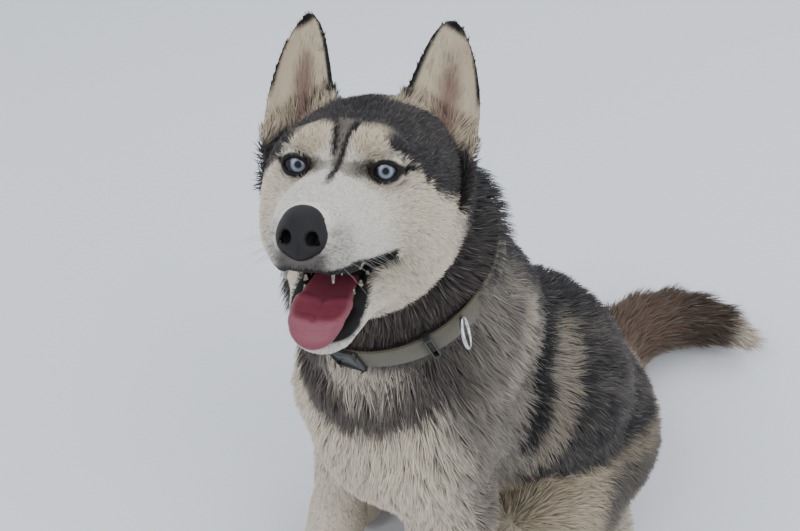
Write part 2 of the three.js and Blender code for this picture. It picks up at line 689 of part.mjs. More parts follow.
const ways = [
  [0, 0, 0.5],
  [0.5, 0, 0],
  [-0.5, 0, 0],
  [0, 0.5, 0],
  [0, -0.5, 0],
];
for (const way of ways) {
  const step = new THREE.Vector3(...way);
  const moved = step.transformDirection(HEAD_TO_BODY).multiplyScalar(0.5);
  tongueOut = tongueOut.subtract(lower.translate(moved.toArray()));
}
add("head", upper, FINISH.dark);
add("jaw", lower, FINISH.pale);
add("tongue", tongueOut, FINISH.tongue);

// The whole is centred over the floor point under the middle of its outline.
const outline = new THREE.Box3().setFromObject(dog);
dog.position.set(
  -(outline.min.x + outline.max.x) / 2,
  -(outline.min.y + outline.max.y) / 2,
  -outline.min.z,
);

export default dog;
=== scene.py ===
import math

import bpy
import numpy as np
from mathutils import Matrix, Vector


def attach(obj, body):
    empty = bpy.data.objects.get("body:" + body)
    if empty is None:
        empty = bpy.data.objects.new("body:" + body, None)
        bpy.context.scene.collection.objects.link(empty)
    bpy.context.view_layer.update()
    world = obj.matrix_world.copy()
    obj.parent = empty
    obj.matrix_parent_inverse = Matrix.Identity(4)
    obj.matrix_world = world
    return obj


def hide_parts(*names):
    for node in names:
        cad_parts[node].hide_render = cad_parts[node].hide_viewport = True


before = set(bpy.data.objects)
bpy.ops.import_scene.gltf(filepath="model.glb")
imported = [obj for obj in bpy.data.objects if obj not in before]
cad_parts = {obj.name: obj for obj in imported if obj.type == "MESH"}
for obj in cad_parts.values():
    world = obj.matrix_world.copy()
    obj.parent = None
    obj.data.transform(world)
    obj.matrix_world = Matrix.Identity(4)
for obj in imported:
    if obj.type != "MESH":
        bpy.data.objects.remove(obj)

# Camera: held above the dog's left front, looking down at its raised face.
# Places are in millimetres from a point on the floor under the chest; placed() takes them to the frame.
MIDDLE = np.array([1.8945, -163.6038, 0.0])
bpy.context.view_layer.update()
bpy.ops.object.select_all(action="DESELECT")


def placed(points):
    return (np.asarray(points, float) + MIDDLE) / 1000


CAMERA_AT = np.array([488.1, -492.1, 1103.6])
bpy.ops.object.camera_add(
    location=placed(CAMERA_AT), rotation=(math.radians(48), 0, math.radians(50))
)
camera = bpy.context.object
camera.data.sensor_width = 36
camera.data.lens = 45
camera.data.clip_end = 50
bpy.context.scene.camera = camera

# Body: the dog's shape is a set of rounded masses that run into each other, as flesh does over bone.
# Each mass gives the distance to its surface, negative inside.
BOTH = (-1, 1)


def ball(centre, radii, blend=30, tilt=0):
    centre = np.array(centre, float)
    rx, ry, rz = radii
    c, s = math.cos(math.radians(tilt)), math.sin(math.radians(tilt))

    def distance(points):
        x, dy, dz = (points - centre).T
        y = dy * c + dz * s
        z = dz * c - dy * s
        k0 = np.sqrt((x / rx) ** 2 + (y / ry) ** 2 + (z / rz) ** 2)
        k1 = np.sqrt((x / rx**2) ** 2 + (y / ry**2) ** 2 + (z / rz**2) ** 2)
        return k0 * (k0 - 1) / np.maximum(k1, 1e-9)

    return distance, blend


def bone(a, b, radius_a, radius_b, wide=1, blend=30):
    start = np.array(a, float)
    along = np.array(b, float) - start
    length = along @ along

    def distance(points):
        offset = points - start
        t = np.clip(offset @ along / length, 0, 1)
        offset = offset - t[:, None] * along
        offset[:, 0] /= wide
        size = np.sqrt((offset * offset).sum(1))
        return (size - (radius_a + (radius_b - radius_a) * t)) * min(1, wide)

    return distance, blend


def soft_union(a, b, blend):
    h = np.maximum(blend - np.abs(a - b), 0)
    return np.minimum(a, b) - h * h / (4 * blend)


def soft_cut(a, b, blend):
    return -soft_union(-a, b, blend)


def blended(masses):
    def field(points):
        total = np.full(len(points), 1e4)
        for distance, blend in masses:
            total = soft_union(total, distance(points), blend)
        return total

    return field


trunk = blended(
    [
        bone((0, -56, 384), (0, 86, 276), 98, 106, wide=1.06),
        ball((0, -112, 388), (68, 66, 112), blend=50, tilt=6),
        ball((0, -12, 457), (68, 70, 60), blend=50),
        bone((0, -36, 470), (0, 10, 385), 72, 76, blend=40),
        bone((0, 86, 276), (0, 166, 168), 106, 106, wide=1.06, blend=60),
        ball((0, 188, 108), (124, 104, 118), blend=50),
        bone((0, -90, 300), (0, 60, 165), 62, 66, wide=1.1, blend=60),
        bone((0, -66, 452), (2, -88, 560), 84, 84, blend=50),
        bone((2, -88, 560), (8, -102, 640), 84, 56, blend=40),
        bone((4, -122, 470), (12, -124, 566), 60, 56, blend=40),
    ]
)


FOREPAW = (77, -190)
HINDPAW = (131, -60)
TOE_HEIGHT = 19
TOES = ((-25, 12), (-9, 0), (9, 0), (25, 12))


def toe_places(side, paw):
    """The middles of a paw's four toes, of which the outer two stand back."""
    return [(side * paw[0] + across, paw[1] + back, TOE_HEIGHT) for across, back in TOES]


def foreleg(side):
    masses = [
        ball((side * 66, -84, 380), (38, 54, 86), blend=34, tilt=-18),
        bone((side * 62, -106, 350), (side * 80, -84, 262), 42, 42, blend=40),
        bone((side * 80, -84, 262), (side * 78, -112, 105), 42, 31, blend=30),
        bone((side * 78, -112, 105), (side * 77, -132, 40), 31, 30, blend=20),
        ball((side * 77, -144, 25), (35, 42, 26), blend=18),
    ]
    masses += [ball(toe, (12, 21, 18), blend=4) for toe in toe_places(side, FOREPAW)]
    return blended(masses)


def hindleg(side):
    masses = [
        bone((side * 72, 150, 150), (side * 112, 12, 176), 92, 62, wide=0.72, blend=45),
        bone((side * 112, 8, 172), (side * 118, 142, 58), 54, 36, wide=0.85, blend=35),
        bone((side * 118, 146, 42), (side * 128, 2, 28), 33, 29, blend=22),
        ball((side * 130, -16, 25), (36, 40, 26), blend=18),
    ]
    masses += [ball(toe, (12, 21, 18), blend=4) for toe in toe_places(side, HINDPAW)]
    return blended(masses)


TAIL_LINE = np.array(
    [
        (0, 232, 82),
        (-19, 276, 68),
        (-42, 322, 56),
        (-66, 364, 51),
        (-78, 405, 50),
        (-76, 448, 50),
        (-60, 490, 50),
        (-36, 519, 49),
        (-8, 540, 47),
        (30, 556, 40),
    ],
    float,
)
TAIL_PARTS = len(TAIL_LINE) - 1


def tail_radius(t):
    return 36 + 15 * math.sin(math.pi * min(1, t * 0.75 + 0.15)) - 16 * t**5


tail = blended(
    [
        bone(a, b, tail_radius(i / TAIL_PARTS), tail_radius((i + 1) / TAIL_PARTS), blend=16)
        for i, (a, b) in enumerate(zip(TAIL_LINE[:-1], TAIL_LINE[1:]))
    ]
)
forelegs = [foreleg(side) for side in BOTH]
hindlegs = [hindleg(side) for side in BOTH]

# Head: modelled in its own axes, left, forward and up from the middle of the skull, and turned
# towards the camera. The mouth is a wedge between the palate and the hanging lower jaw.
HEAD_AT = np.array([10.0, -130.0, 664.0])
HEAD_FROM_Z = 440


def head_turn(yaw, pitch, roll):
    y, p, r = (math.radians(v) for v in (yaw, pitch, roll))
    forward = np.array([math.sin(y) * math.cos(p), -math.cos(y) * math.cos(p), math.sin(p)])
    level = np.array([math.cos(y), math.sin(y), 0])
    above = np.cross(forward, level)
    left = level * math.cos(r) - above * math.sin(r)
    up = above * math.cos(r) + level * math.sin(r)
    return np.stack([left, forward, up])


HEAD_AXES = head_turn(37.4, 31.7, -3.2)


def to_head(points):
    return (points - HEAD_AT) @ HEAD_AXES.T


def from_head(points):
    return np.asarray(points, float) @ HEAD_AXES + HEAD_AT


def head_reach(h):
    """How far each point lies to either side, forward and up in the head's axes."""
    return np.abs(h[:, 0]), h[:, 1], h[:, 2]


EYE_AT = (31, 52.5, 2)
EYE_RADIUS = 11
skull_masses = [
    ball((0, -8, -1), (60, 62, 48), blend=20),
    ball((0, 34, 0), (43, 32, 33), blend=20),
    bone((0, 50, -14), (0, 132, -30), 26, 17, wide=1.05, blend=22),
    bone((0, 50, -32), (0, 132, -38), 32, 22, blend=18),
    ball((0, -40, -46), (58, 46, 52), blend=36),
]
for side in BOTH:
    skull_masses += [
        ball((side * 27, 52, 17), (18, 16, 11), blend=16),
        bone((side * 20, 66, -49), (side * 10, 130, -44), 18, 13, blend=14),
        bone((side * 30, 34, -34), (side * 16, 92, -36), 22, 14, blend=22),
        ball((side * 40, 8, -14), (29, 40, 36), blend=20),
        ball((side * 43, 6, -50), (28, 42, 34), blend=22),
    ]
skull = blended(skull_masses)
sockets = [ball((side * 35, 69, 1), (16, 11, 10))[0] for side in BOTH]
lids = [ball((side * EYE_AT[0], EYE_AT[1], EYE_AT[2]), (12.4, 12.4, 12.4))[0] for side in BOTH]


JAW_DROP = math.radians(27)
HINGE_FORWARD = 2
HINGE_UP = -44


def on_jaw(left, forward, up):
    """A place on the closed jaw, moved to where the open jaw carries it."""
    c, s = math.cos(JAW_DROP), math.sin(JAW_DROP)
    f, u = forward - HINGE_FORWARD, up - HINGE_UP
    return left, HINGE_FORWARD + f * c + u * s, HINGE_UP + u * c - f * s


jaw = blended(
    [
        bone(on_jaw(0, 34, -66), on_jaw(0, 108, -60), 28, 15, wide=1.1, blend=24),
        bone(on_jaw(28, 22, -60), on_jaw(13, 104, -56), 18, 9, blend=18),
        bone(on_jaw(-28, 22, -60), on_jaw(-13, 104, -56), 18, 9, blend=18),
        ball(on_jaw(0, 4, -72), (52, 46, 38), blend=34),
    ]
)


def smooth(low, high, value):
    t = np.clip((value - low) / (high - low), 0, 1)
    return t * t * (3 - 2 * t)


def jaw_place(h):
    """Forward and up in the lower jaw's own axes."""
    c, s = math.cos(JAW_DROP), math.sin(JAW_DROP)
    f, u = h[:, 1] - HINGE_FORWARD, h[:, 2] - HINGE_UP
    return HINGE_FORWARD + f * c - u * s, HINGE_UP + f * s + u * c


def lip_line(h):
    """How far each point lies below the line from the corner of the mouth to the lower lip."""
    return (-56 - 0.95 * (h[:, 1] - 50) - h[:, 2]) * 0.72


def mouth(h):
    """Negative in the gap between the lips and in the trough of the lower jaw."""
    side = np.abs(h[:, 0])
    f, u = jaw_place(h)
    roof = -55 - 9 * smooth(10, 19, side) + 10 * smooth(20, 26, side)
    gap = np.maximum.reduce([h[:, 2] - roof, lip_line(h), 50 - h[:, 1]])
    gap = np.minimum(gap, np.maximum.reduce([h[:, 2] - roof, -51.5 - u, 80 - h[:, 1]]))
    trough = np.maximum.reduce([-66 - u, side - 9.5 - (110 - f) * 0.21, 50 - h[:, 1], f - 113])
    return np.minimum(gap, np.maximum(trough, h[:, 2] - roof))


EAR_ROOT = np.array([52.0, -15.0, 20.0])
EAR_RISE = np.array([7.0, -29.0, 89.0])
EAR_HALF = np.array([28.0, -3.0, -16.0])
EAR_FRAME = np.linalg.inv(np.stack([EAR_RISE, EAR_HALF, (0, 1, 0)]))


EAR_HEIGHT = 94
EAR_HOLLOW = 19.4


def ear_place(h):
    """Height up the ear, place across it and depth behind its hollow, for each point."""
    q = h.copy()
    q[:, 0] = np.abs(q[:, 0])
    rise, across, depth = ((q - EAR_ROOT) @ EAR_FRAME).T
    across = across - 0.1 * np.sin(math.pi * np.clip(rise, 0, 1))
    spread = np.maximum(1 - np.clip(rise, 0, 1) ** 2.1, 0) ** 0.58
    u = across / np.maximum(spread, 0.05)
    sheet = -EAR_HOLLOW * spread * np.maximum(1 - u * u, 0)
    return rise, across, spread, depth - sheet


def ears(h):
    rise, across, spread, depth = ear_place(h)
    wall = np.abs(depth) * 0.9 - (2.5 - 0.8 * np.clip(rise, 0, 1))
    edge = (np.abs(across) - spread) * 32
    tip = (rise - 1) * EAR_HEIGHT
    foot = (-0.35 - rise) * EAR_HEIGHT
    return np.maximum.reduce([wall, edge, tip, foot])


nose_shape = blended(
    [
        ball((0, 141, -31), (15.5, 15, 14), blend=6),
        ball((0, 138, -25), (13.5, 13.5, 10.5), blend=8),
        ball((-9.5, 142, -36), (7, 11, 9), blend=6),
        ball((9.5, 142, -36), (7, 11, 9), blend=6),
        bone((0, 147, -42), (0, 144, -48), 6.5, 4, blend=8),
    ]
)
nose_bed = ball((0, 149, -32), (15, 18, 14.5))[0]


def eye_opening(h):
    """Distance to the almond between the lids, in front of the eyeball."""
    x = np.abs(h[:, 0]) - EYE_AT[0] - 0.6
    z = h[:, 2] - EYE_AT[2] - 0.04 * x
    across = np.clip(1 - (x / 8.0) ** 2, 0, 1)
    high = np.where(z > 0, 4.7, 5.0) * across**0.65
    return np.maximum(np.abs(z) - high, np.maximum(np.abs(x) - 7.8, EYE_AT[1] - h[:, 1]))


def head_field(h):
    d = soft_cut(skull(h), np.minimum(sockets[0](h), sockets[1](h)), 8)
    d = soft_union(d, np.minimum(lids[0](h), lids[1](h)), 5)
    return soft_union(d, jaw(h), 12)


def dog(points):
    d = trunk(points)
    for leg in forelegs:
        d = soft_union(d, leg(points), 34)
    for leg in hindlegs:
        d = soft_union(d, leg(points), 26)
    d = soft_union(d, tail(points), 30)
    near = points[:, 2] > HEAD_FROM_Z
    if near.any():
        h = to_head(points[near])
        d[near] = soft_union(d[near], head_field(h), 34)
    return d


COLLAR_AT = np.array([4.0, -92.0, 552.0])
COLLAR_TILT = math.radians(24)
COLLAR_AXIS = np.array([0.0, -math.sin(COLLAR_TILT), math.cos(COLLAR_TILT)])


def above_collar(points):
    return (points - COLLAR_AT) @ COLLAR_AXIS


NAPE_AT = np.array([4.0, -96.0, 596.0])
NAPE_AXIS = np.array([0.12, -0.4, 0.91])


def past_nape(points):
    """How far each point lies towards the head from the plane between nape and throat."""
    return (points - NAPE_AT) @ NAPE_AXIS


# Coat depth: how far the bare skin lies under the tips of the hair, from the velvet of the muzzle
# to the mane of the neck and chest.
def coat_depth(points):
    x, y, z = points.T
    s, f, u = head_reach(to_head(points))
    body = 13 + 7 * smooth(300, 430, z) * smooth(20, -60, y)
    body = body - 8 * smooth(270, 190, z) * smooth(0, -40, y)
    body = body - 4 * smooth(190, 60, z) * (1 - smooth(180, 230, y))
    body = body - 4 * smooth(110, 60, z) * smooth(140, 60, y)
    body = body + 6 * smooth(225, 290, y)
    body = np.minimum(body, 9 + 11 * smooth(12, 50, np.abs(above_collar(points))))
    body = np.where(z < 45, np.minimum(body, 3 + 18 * smooth(150, 230, y)), body)
    face = 1.2 + 2.2 * smooth(85, 50, f) + 3 * smooth(45, 5, f)
    face = face + 1.5 * smooth(22, -20, f) * smooth(30, -30, u)
    face = face + 2 * smooth(60, 10, f) * smooth(-20, -60, u)
    on_ear = smooth(4, 14, u + 0.6 * s - 62) * smooth(40, 0, f)
    face = face * (1 - on_ear) + 0.5 * on_ear
    is_head = smooth(0, 26, past_nape(points))
    return body * (1 - is_head) + face * is_head


FLOOR_GAP = 0.2


def skin(points):
    """Distance to the bare skin, with thin ears and lids, the mouth and the floor's flat."""
    d = dog(points) + coat_depth(points)
    near = points[:, 2] > HEAD_FROM_Z
    if near.any():
        h = to_head(points[near])
        whole = soft_union(d[near], ears(h), 12)
        whole = soft_cut(whole, mouth(h) + 0.8, 3)
        whole = soft_union(whole, np.minimum(lids[0](h), lids[1](h)), 4)
        whole = soft_cut(whole, eye_opening(h), 1.6)
        d[near] = soft_cut(whole, nose_bed(h), 3)
    return np.maximum(d, FLOOR_GAP - points[:, 2])


def slope_of(field, points, value, step=0.4):
    columns = []
    for axis in range(3):
        moved = points.copy()
        moved[:, axis] += step
        columns.append((field(moved) - value) / step)
    return np.stack(columns, 1)


def drawn_onto(field, points, rounds=2):
    """The points, moved down the field's slope onto its surface."""
    for _ in range(rounds):
        value = field(points)
        slope = slope_of(field, points, value)
        size = np.maximum((slope * slope).sum(1), 0.3)
        move = np.clip(value / size, -3, 3)
        points = points - move[:, None] * slope
    return points


BLOCK = 4
NEAR_CELLS = 7
BATCH = 60000
CUBE = [(a, b, c) for a in (0, 1) for b in (0, 1) for c in (0, 1)]


def grid_places(counts):
    return np.stack(np.meshgrid(*[np.arange(n) for n in counts], indexing="ij"), -1).reshape(-1, 3)


def in_batches(field, points):
    return np.concatenate([field(part) for part in np.array_split(points, 1 + len(points) // BATCH)])


def sampled(field, low, counts, cell):
    """The field on a grid: a value for each block of cells, and for each cell near the surface."""
    blocks = counts // BLOCK
    index = grid_places(blocks)
    rough = in_batches(field, low + (index * BLOCK + (BLOCK - 1) / 2) * cell)
    values = rough.reshape(blocks)
    for axis in range(3):
        values = np.repeat(values, BLOCK, axis)
    near = index[np.abs(rough) < NEAR_CELLS * cell]
    nodes = (near[:, None] * BLOCK + grid_places([BLOCK] * 3)).reshape(-1, 3)
    values[tuple(nodes.T)] = in_batches(field, low + nodes * cell)
    for axis in range(3):
        ends = values.swapaxes(0, axis)
        ends[[0, -1]] = np.maximum(ends[[0, -1]], 0.5 * cell)
    return values


def crossed_cells(values):
    """The cells that the surface crosses, and the mean of its crossings in each."""
    nx, ny, nz = values.shape
    inside = values < 0
    total = sum(
        inside[a : nx - 1 + a, b : ny - 1 + b, c : nz - 1 + c].astype(np.int8) for a, b, c in CUBE
    )
    cells = np.argwhere((total > 0) & (total < 8))
    at_corner = [values[tuple((cells + corner).T)] for corner in CUBE]
    where = np.zeros((len(cells), 3))
    number = np.zeros(len(cells))
    for i, a in enumerate(CUBE):
        for j, b in enumerate(CUBE):
            if j <= i or sum(abs(p - q) for p, q in zip(a, b)) != 1:
                continue
            fa, fb = at_corner[i], at_corner[j]
            crossed = (fa < 0) != (fb < 0)
            t = np.where(crossed, fa / np.where(crossed, fa - fb, 1), 0)
            spot = np.array(a) + t[:, None] * (np.array(b) - np.array(a))
            where += np.where(crossed[:, None], spot, 0)
            number += crossed
    return cells, where / number[:, None]


def net(field, low, high, cell):
    """Vertices and quads of the surface where the field is zero, one vertex to each crossed cell."""
    low = np.array(low, float)
    counts = np.ceil((np.array(high, float) - low) / cell / BLOCK).astype(int) * BLOCK
    values = sampled(field, low, counts, cell)
    cells, where = crossed_cells(values)
    vertex_of = np.full(counts, -1)
    vertex_of[tuple(cells.T)] = np.arange(len(cells))
    inside = values < 0
    here = inside[tuple(slice(1, n - 1) for n in counts)]
    units = np.eye(3, dtype=int)
    quads = []
    for axis in range(3):
        one, p, q = units[axis], units[(axis + 1) % 3], units[(axis + 2) % 3]
        beyond = inside[tuple(slice(1 + step, n - 1 + step) for step, n in zip(one, counts))]
        for leaves, turn in ((here & ~beyond, 1), (beyond & ~here, -1)):
            edges = np.argwhere(leaves) + 1
            ring = [edges, edges - p, edges - p - q, edges - q]
            quads.append(np.stack([vertex_of[tuple(corner.T)] for corner in ring], 1)[:, ::turn])
    quads = np.concatenate(quads)
    return low + (cells + where) * cell, quads[(quads >= 0).all(1)]


def mesh_object(name, vertices, faces):
    """A mesh from vertices in the dog's own millimetres and faces of one number of corners."""
    mesh = bpy.data.meshes.new(name)
    mesh.vertices.add(len(vertices))
    mesh.vertices.foreach_set("co", placed(vertices).astype(np.float32).ravel())
    corners = faces.shape[1]
    mesh.loops.add(faces.size)
    mesh.loops.foreach_set("vertex_index", faces.astype(np.int32).ravel())
    mesh.polygons.add(len(faces))
    mesh.polygons.foreach_set("loop_start", np.arange(0, faces.size, corners, dtype=np.int32))
    mesh.update(calc_edges=True)
    mesh.polygons.foreach_set("use_smooth", np.ones(len(faces), bool))
    piece = bpy.data.objects.new(name, mesh)
    bpy.context.collection.objects.link(piece)
    return piece


# Markings: a black and grey agouti coat with a pale mask, pale brow spots, cream chest and legs.
# Colours are linear red, green and blue.
def linear(red, green, blue):
    return np.array([red, green, blue]) ** 2.2


CREAM = linear(0.85, 0.80, 0.72)
WHITE = linear(0.86, 0.84, 0.80)
BUFF = linear(0.79, 0.73, 0.63)
GREY = linear(0.47, 0.44, 0.41)
PALE_GREY = linear(0.66, 0.62, 0.56)
CHARCOAL = linear(0.175, 0.165, 0.175)
BLACK = linear(0.085, 0.08, 0.085)
BROWN = linear(0.40, 0.33, 0.28)


def painted(base, colour, amount):
    return base + (colour - base) * np.clip(amount, 0, 1)[:, None]


LINE_DEPTH = 15


def line_distance(points, line):
    """Distance from a line drawn on the tips of the coat, less the coat's own depth."""
    best = np.full(len(points), 1e4)
    line = np.array(line, float)
    for a, b in zip(line[:-1], line[1:]):
        along = b - a
        t = np.clip((points - a) @ along / (along @ along), 0, 1)
        best = np.minimum(best, np.linalg.norm(points - a - t[:, None] * along, axis=1))
    return np.sqrt(np.maximum(best * best - LINE_DEPTH**2, 0))


def wave(points, size, seed):
    """A soft, even noise between -1 and 1 over distances of about size."""
    turn = np.random.default_rng(seed)
    total = np.zeros(len(points))
    for _ in range(5):
        way = turn.normal(size=3)
        way = way / np.linalg.norm(way) * turn.uniform(0.7, 1.5) * 2 * math.pi / size
        total += np.sin(points @ way + turn.uniform(0, 6.28))
    return total / 2.6


MASK_UP = [-140, -100, -70, -50, -25, -10, 15, 25, 31]
MASK_SIDE = [45, 70, 82, 84, 75, 60, 38, 28, 8]


def crown_and_mask(h):
    """A charcoal crown, black in the middle, over the pale mask with a buff spot above each eye."""
    s, f, u = head_reach(h)
    rough = wave(h, 9, 3) * 1.8 + wave(h, 4, 6) * 1.2
    colour = np.tile(CHARCOAL, (len(h), 1))
    colour = painted(colour, GREY, 0.10 + 0.10 * wave(h, 8, 5))
    colour = painted(colour, BLACK, smooth(14, 0, s) * smooth(30, 46, u) * smooth(60, 30, f))
    rim = np.interp(u, MASK_UP, MASK_SIDE) - s + rough
    colour = painted(colour, CHARCOAL, smooth(-22, -2, rim) * 0.7)
    pale = smooth(-2.5, 2.5, rim) * smooth(-28, -10, f + rough + 0.12 * (u + 40))
    mask = WHITE + (CREAM - WHITE) * smooth(95, 40, f)[:, None]
    colour = colour + (mask - colour) * (pale * smooth(33, 27, u))[:, None]
    spot = np.sqrt(((s - 20) / 15) ** 2 + ((u - 21) / 13) ** 2)
    return painted(colour, BUFF, smooth(1.05, 0.45, spot) * 0.9 * smooth(30, 45, f))


BLAZE_UP = [-6, 8, 20, 31, 36]
BLAZE_LEFT = [1.2, -2.2, -4.5, -9, -13]
BLAZE_RIGHT = [3.2, 3.2, 4.2, 8, 12]


def blaze(colour, h):
    """The grey wedge that runs down the forehead between two black lines."""
    f, u = h[:, 1], h[:, 2]
    left_edge = np.interp(u, BLAZE_UP, BLAZE_LEFT)
    right_edge = np.interp(u, BLAZE_UP, BLAZE_RIGHT)
    across = h[:, 0] + 0.5 * wave(h, 6, 4)
    between = smooth(1.0, -0.5, np.maximum(left_edge - across, across - right_edge))
    peak = between * smooth(38, 46, f) * smooth(-7, 2, u)
    colour = painted(colour, GREY * 0.85, peak * np.interp(u, [-5, 10, 25], [0.35, 0.85, 1]))
    left_line = smooth(3.4, 0.8, np.abs(across - left_edge)) * smooth(5, 14, u)
    right_line = smooth(3.8, 1.0, np.abs(across - right_edge)) * smooth(-8, 0, u)
    lines = np.maximum(left_line, right_line)
    return painted(colour, BLACK, lines * smooth(38, 46, f) * smooth(36, 30, u))


def eye_lines(colour, h):
    """Black lids, a streak from the outer corner and a dark smudge towards the nose."""
    s, f, u = head_reach(h)
    x = s - EYE_AT[0] - 0.6
    z = u - EYE_AT[2] - 0.04 * x
    ring = np.sqrt((x / 11.4) ** 2 + (z / 8.8) ** 2)
    front = smooth(40, 50, f) * smooth(85, 78, f)
    colour = painted(colour, BLACK, smooth(1.12, 0.92, ring) * front)
    streak = np.abs(z - 1.5 + 0.2 * (x - 9)) - np.interp(x, [7, 19], [4.2, 0.3])
    streak = smooth(1.2, -0.6, streak) * (x > 4) * smooth(20, 17, x)
    colour = painted(colour, BLACK, streak * smooth(25, 40, f))
    height = np.interp(s, [4, 10, 20], [2.5, 4, 6.5])
    smudge = np.abs(u - 3.5 + 0.15 * (s - 12) + wave(h, 5, 8)) / height
    smudge = smooth(1.4, 0.5, smudge) * np.interp(s, [4, 12, 20, 24], [0.45, 0.75, 0.95, 0.3])
    return painted(colour, BROWN * 0.2, smudge * smooth(46, 54, f) * smooth(98, 88, f))


def lip_brim(h, inset=0):
    """1 on the rim of the lower lip, drawn in by the inset from its outer edge."""
    f = h[:, 1]
    brim = smooth(-60 + inset, -57, jaw_place(h)[1]) * smooth(78, 84, f)
    edge = smooth(9 - inset, 7.5 - inset, lip_line(h)) * smooth(92, 86, f)
    return np.maximum(brim, edge) * (lip_line(h) > -1)


def lips(colour, h):
    """Dark lips, grey specks round the nose and the red roof of the mouth."""
    s, f, u = head_reach(h)
    lip = smooth(19, 11, s) * smooth(126, 134, f) * smooth(-37, -43, u)
    colour = painted(colour, CHARCOAL, lip * 0.9)
    speck = smooth(110, 138, f) * (0.30 + 0.5 * np.clip(wave(h, 3, 9), 0, 1)) * smooth(-20, -32, u)
    colour = painted(colour, GREY * 0.7, speck)
    brim = lip_brim(h)
    under = smooth(-51.5, -54, u) * smooth(-75, -71, u + 0.29 * (f - 56))
    gape = smooth(5, 2, mouth(h)) * smooth(46, 50, f)
    dark = np.maximum.reduce([brim * smooth(44, 48, f), under * smooth(50, 56, f), gape])
    colour = painted(colour, BLACK * 0.6, dark * (s < 42))
    red = smooth(-1, -3, mouth(h)) * smooth(14, 8, s)
    return painted(colour, linear(0.34, 0.15, 0.17), red)


def ear_colours(colour, h):
    """Charcoal backs, buff hollows that darken to brown, and a black rim and tip."""
    rise, across, spread, depth = ear_place(h)
    on_ear = smooth(0.02, 0.12, rise) * smooth(14, 9, np.abs(depth)) * (h[:, 1] < 20)
    fold = np.abs(across) / np.maximum(spread, 0.05)
    inside = smooth(-0.4, 0.6, depth) * on_ear
    colour = painted(colour, CHARCOAL, on_ear)
    colour = painted(colour, BUFF, inside * 0.95)
    hollow = smooth(0.62, 0.1, np.abs(fold + 0.05)) * smooth(0.92, 0.45, rise)
    colour = painted(colour, linear(0.47, 0.36, 0.33), inside * hollow * 0.85)
    brink = smooth(0.80, 0.93, fold) * smooth(0.22, 0.42, rise + 0.16 * np.sign(-across))
    return painted(colour, BLACK, on_ear * np.maximum(brink, smooth(0.89, 0.95, rise)))


def head_colour(h):
    colour = crown_and_mask(h)
    for marked in (blaze, eye_lines, lips, ear_colours):
        colour = marked(colour, h)
    return colour


CHEST_EDGE = [(70, 5, 490), (85, -5, 455), (105, -55, 430)]
DARK_STRIPE = [(25, 75, 425), (85, 20, 405), (110, -5, 310)]
PALE_STRIPE = [(30, 95, 400), (80, 70, 385), (110, 35, 345), (110, 0, 250)]


SADDLE_UP = [250, 350, 385, 420, 470]
SADDLE_BACK = [-5, 45, 75, 60, 10]


def back_colours(colour, points, rough):
    """The charcoal saddle and ruff, and the buff hindquarters with their grey haunch."""
    y, z = points[:, 1], points[:, 2]
    saddle = smooth(-14, 14, y - np.interp(z, SADDLE_UP, SADDLE_BACK) + rough)
    lower = 246 - 0.27 * (y + 3) + rough * 0.6
    dark = saddle * smooth(-7, 7, z - lower)
    colour = painted(colour, CHARCOAL, dark)
    colour = painted(colour, GREY, dark * 0.22 * (1 + wave(points, 45, 14)))
    ruff = smooth(-4, 12, above_collar(points)) * smooth(470, 500, z)
    colour = painted(colour, CHARCOAL, ruff * 0.92)
    below = smooth(7, -7, z - lower) * smooth(-60, -30, y)
    colour = painted(colour, BUFF * 0.72, below)
    haunch = np.hypot((y - 160) / 88, (z - 160 - 0.2 * (y - 160)) / 84) + rough * 0.006
    haunch = below * smooth(1.15, 0.55, haunch)
    colour = painted(colour, GREY * 0.58, haunch)
    rim = np.abs(z - 196 + 0.3 * (y - 165) + rough * 0.5)
    colour = painted(colour, BUFF * 0.65, haunch * smooth(18, 3, rim) * 0.5)
    return painted(colour, CREAM * 0.75, below * smooth(125, 55, z + rough) * smooth(260, 180, y))


def chest_colours(colour, points, rough):
    """The cream chest and forelegs under a dark band, and the pale throat above it."""
    x, y, z = points.T
    front = smooth(-88, -122, y + rough * 1.1 + 0.10 * (z - 400)) * smooth(500, 470, z)
    leg = smooth(265, 235, z + rough) * smooth(-20, -50, y)
    colour = painted(colour, CREAM * 0.93, np.maximum(front, leg))
    sag = 414 + 0.010 * (x - 22) ** 2
    band = smooth(-10, 10, z - sag + rough) * smooth(-50, -100, y)
    colour = painted(colour, linear(0.29, 0.26, 0.25), band * 0.95)
    throat = smooth(30, 14, np.hypot(x - 36, (z - 488) * 0.8) + rough * 0.4) * smooth(-110, -140, y)
    return painted(colour, CREAM * 0.8, throat * 0.9)


def stripe(points, line, outer, inner, rough):
    return smooth(outer, inner, line_distance(points, line) + rough)


def side_colours(colour, points, rough):
    """The stripes that run down each shoulder and side, and the dark line of the spine."""
    mirrored = points.copy()
    mirrored[:, 0] = np.abs(points[:, 0])
    s, y, z = mirrored.T
    chest_edge = stripe(mirrored, CHEST_EDGE, 15, 4, rough * 0.3)
    colour = painted(colour, PALE_GREY, chest_edge * 0.8)
    colour = painted(colour, BLACK, stripe(mirrored, DARK_STRIPE, 14, 5, rough * 0.3))
    pale = stripe(mirrored, PALE_STRIPE, 14, 4, rough * 0.4)
    colour = painted(colour, linear(0.57, 0.53, 0.47), pale * 0.8)
    spine = smooth(62, 30, s + rough * 0.6) * smooth(-75, -45, y) * smooth(300, 340, z)
    return painted(colour, CHARCOAL, spine * 0.92)


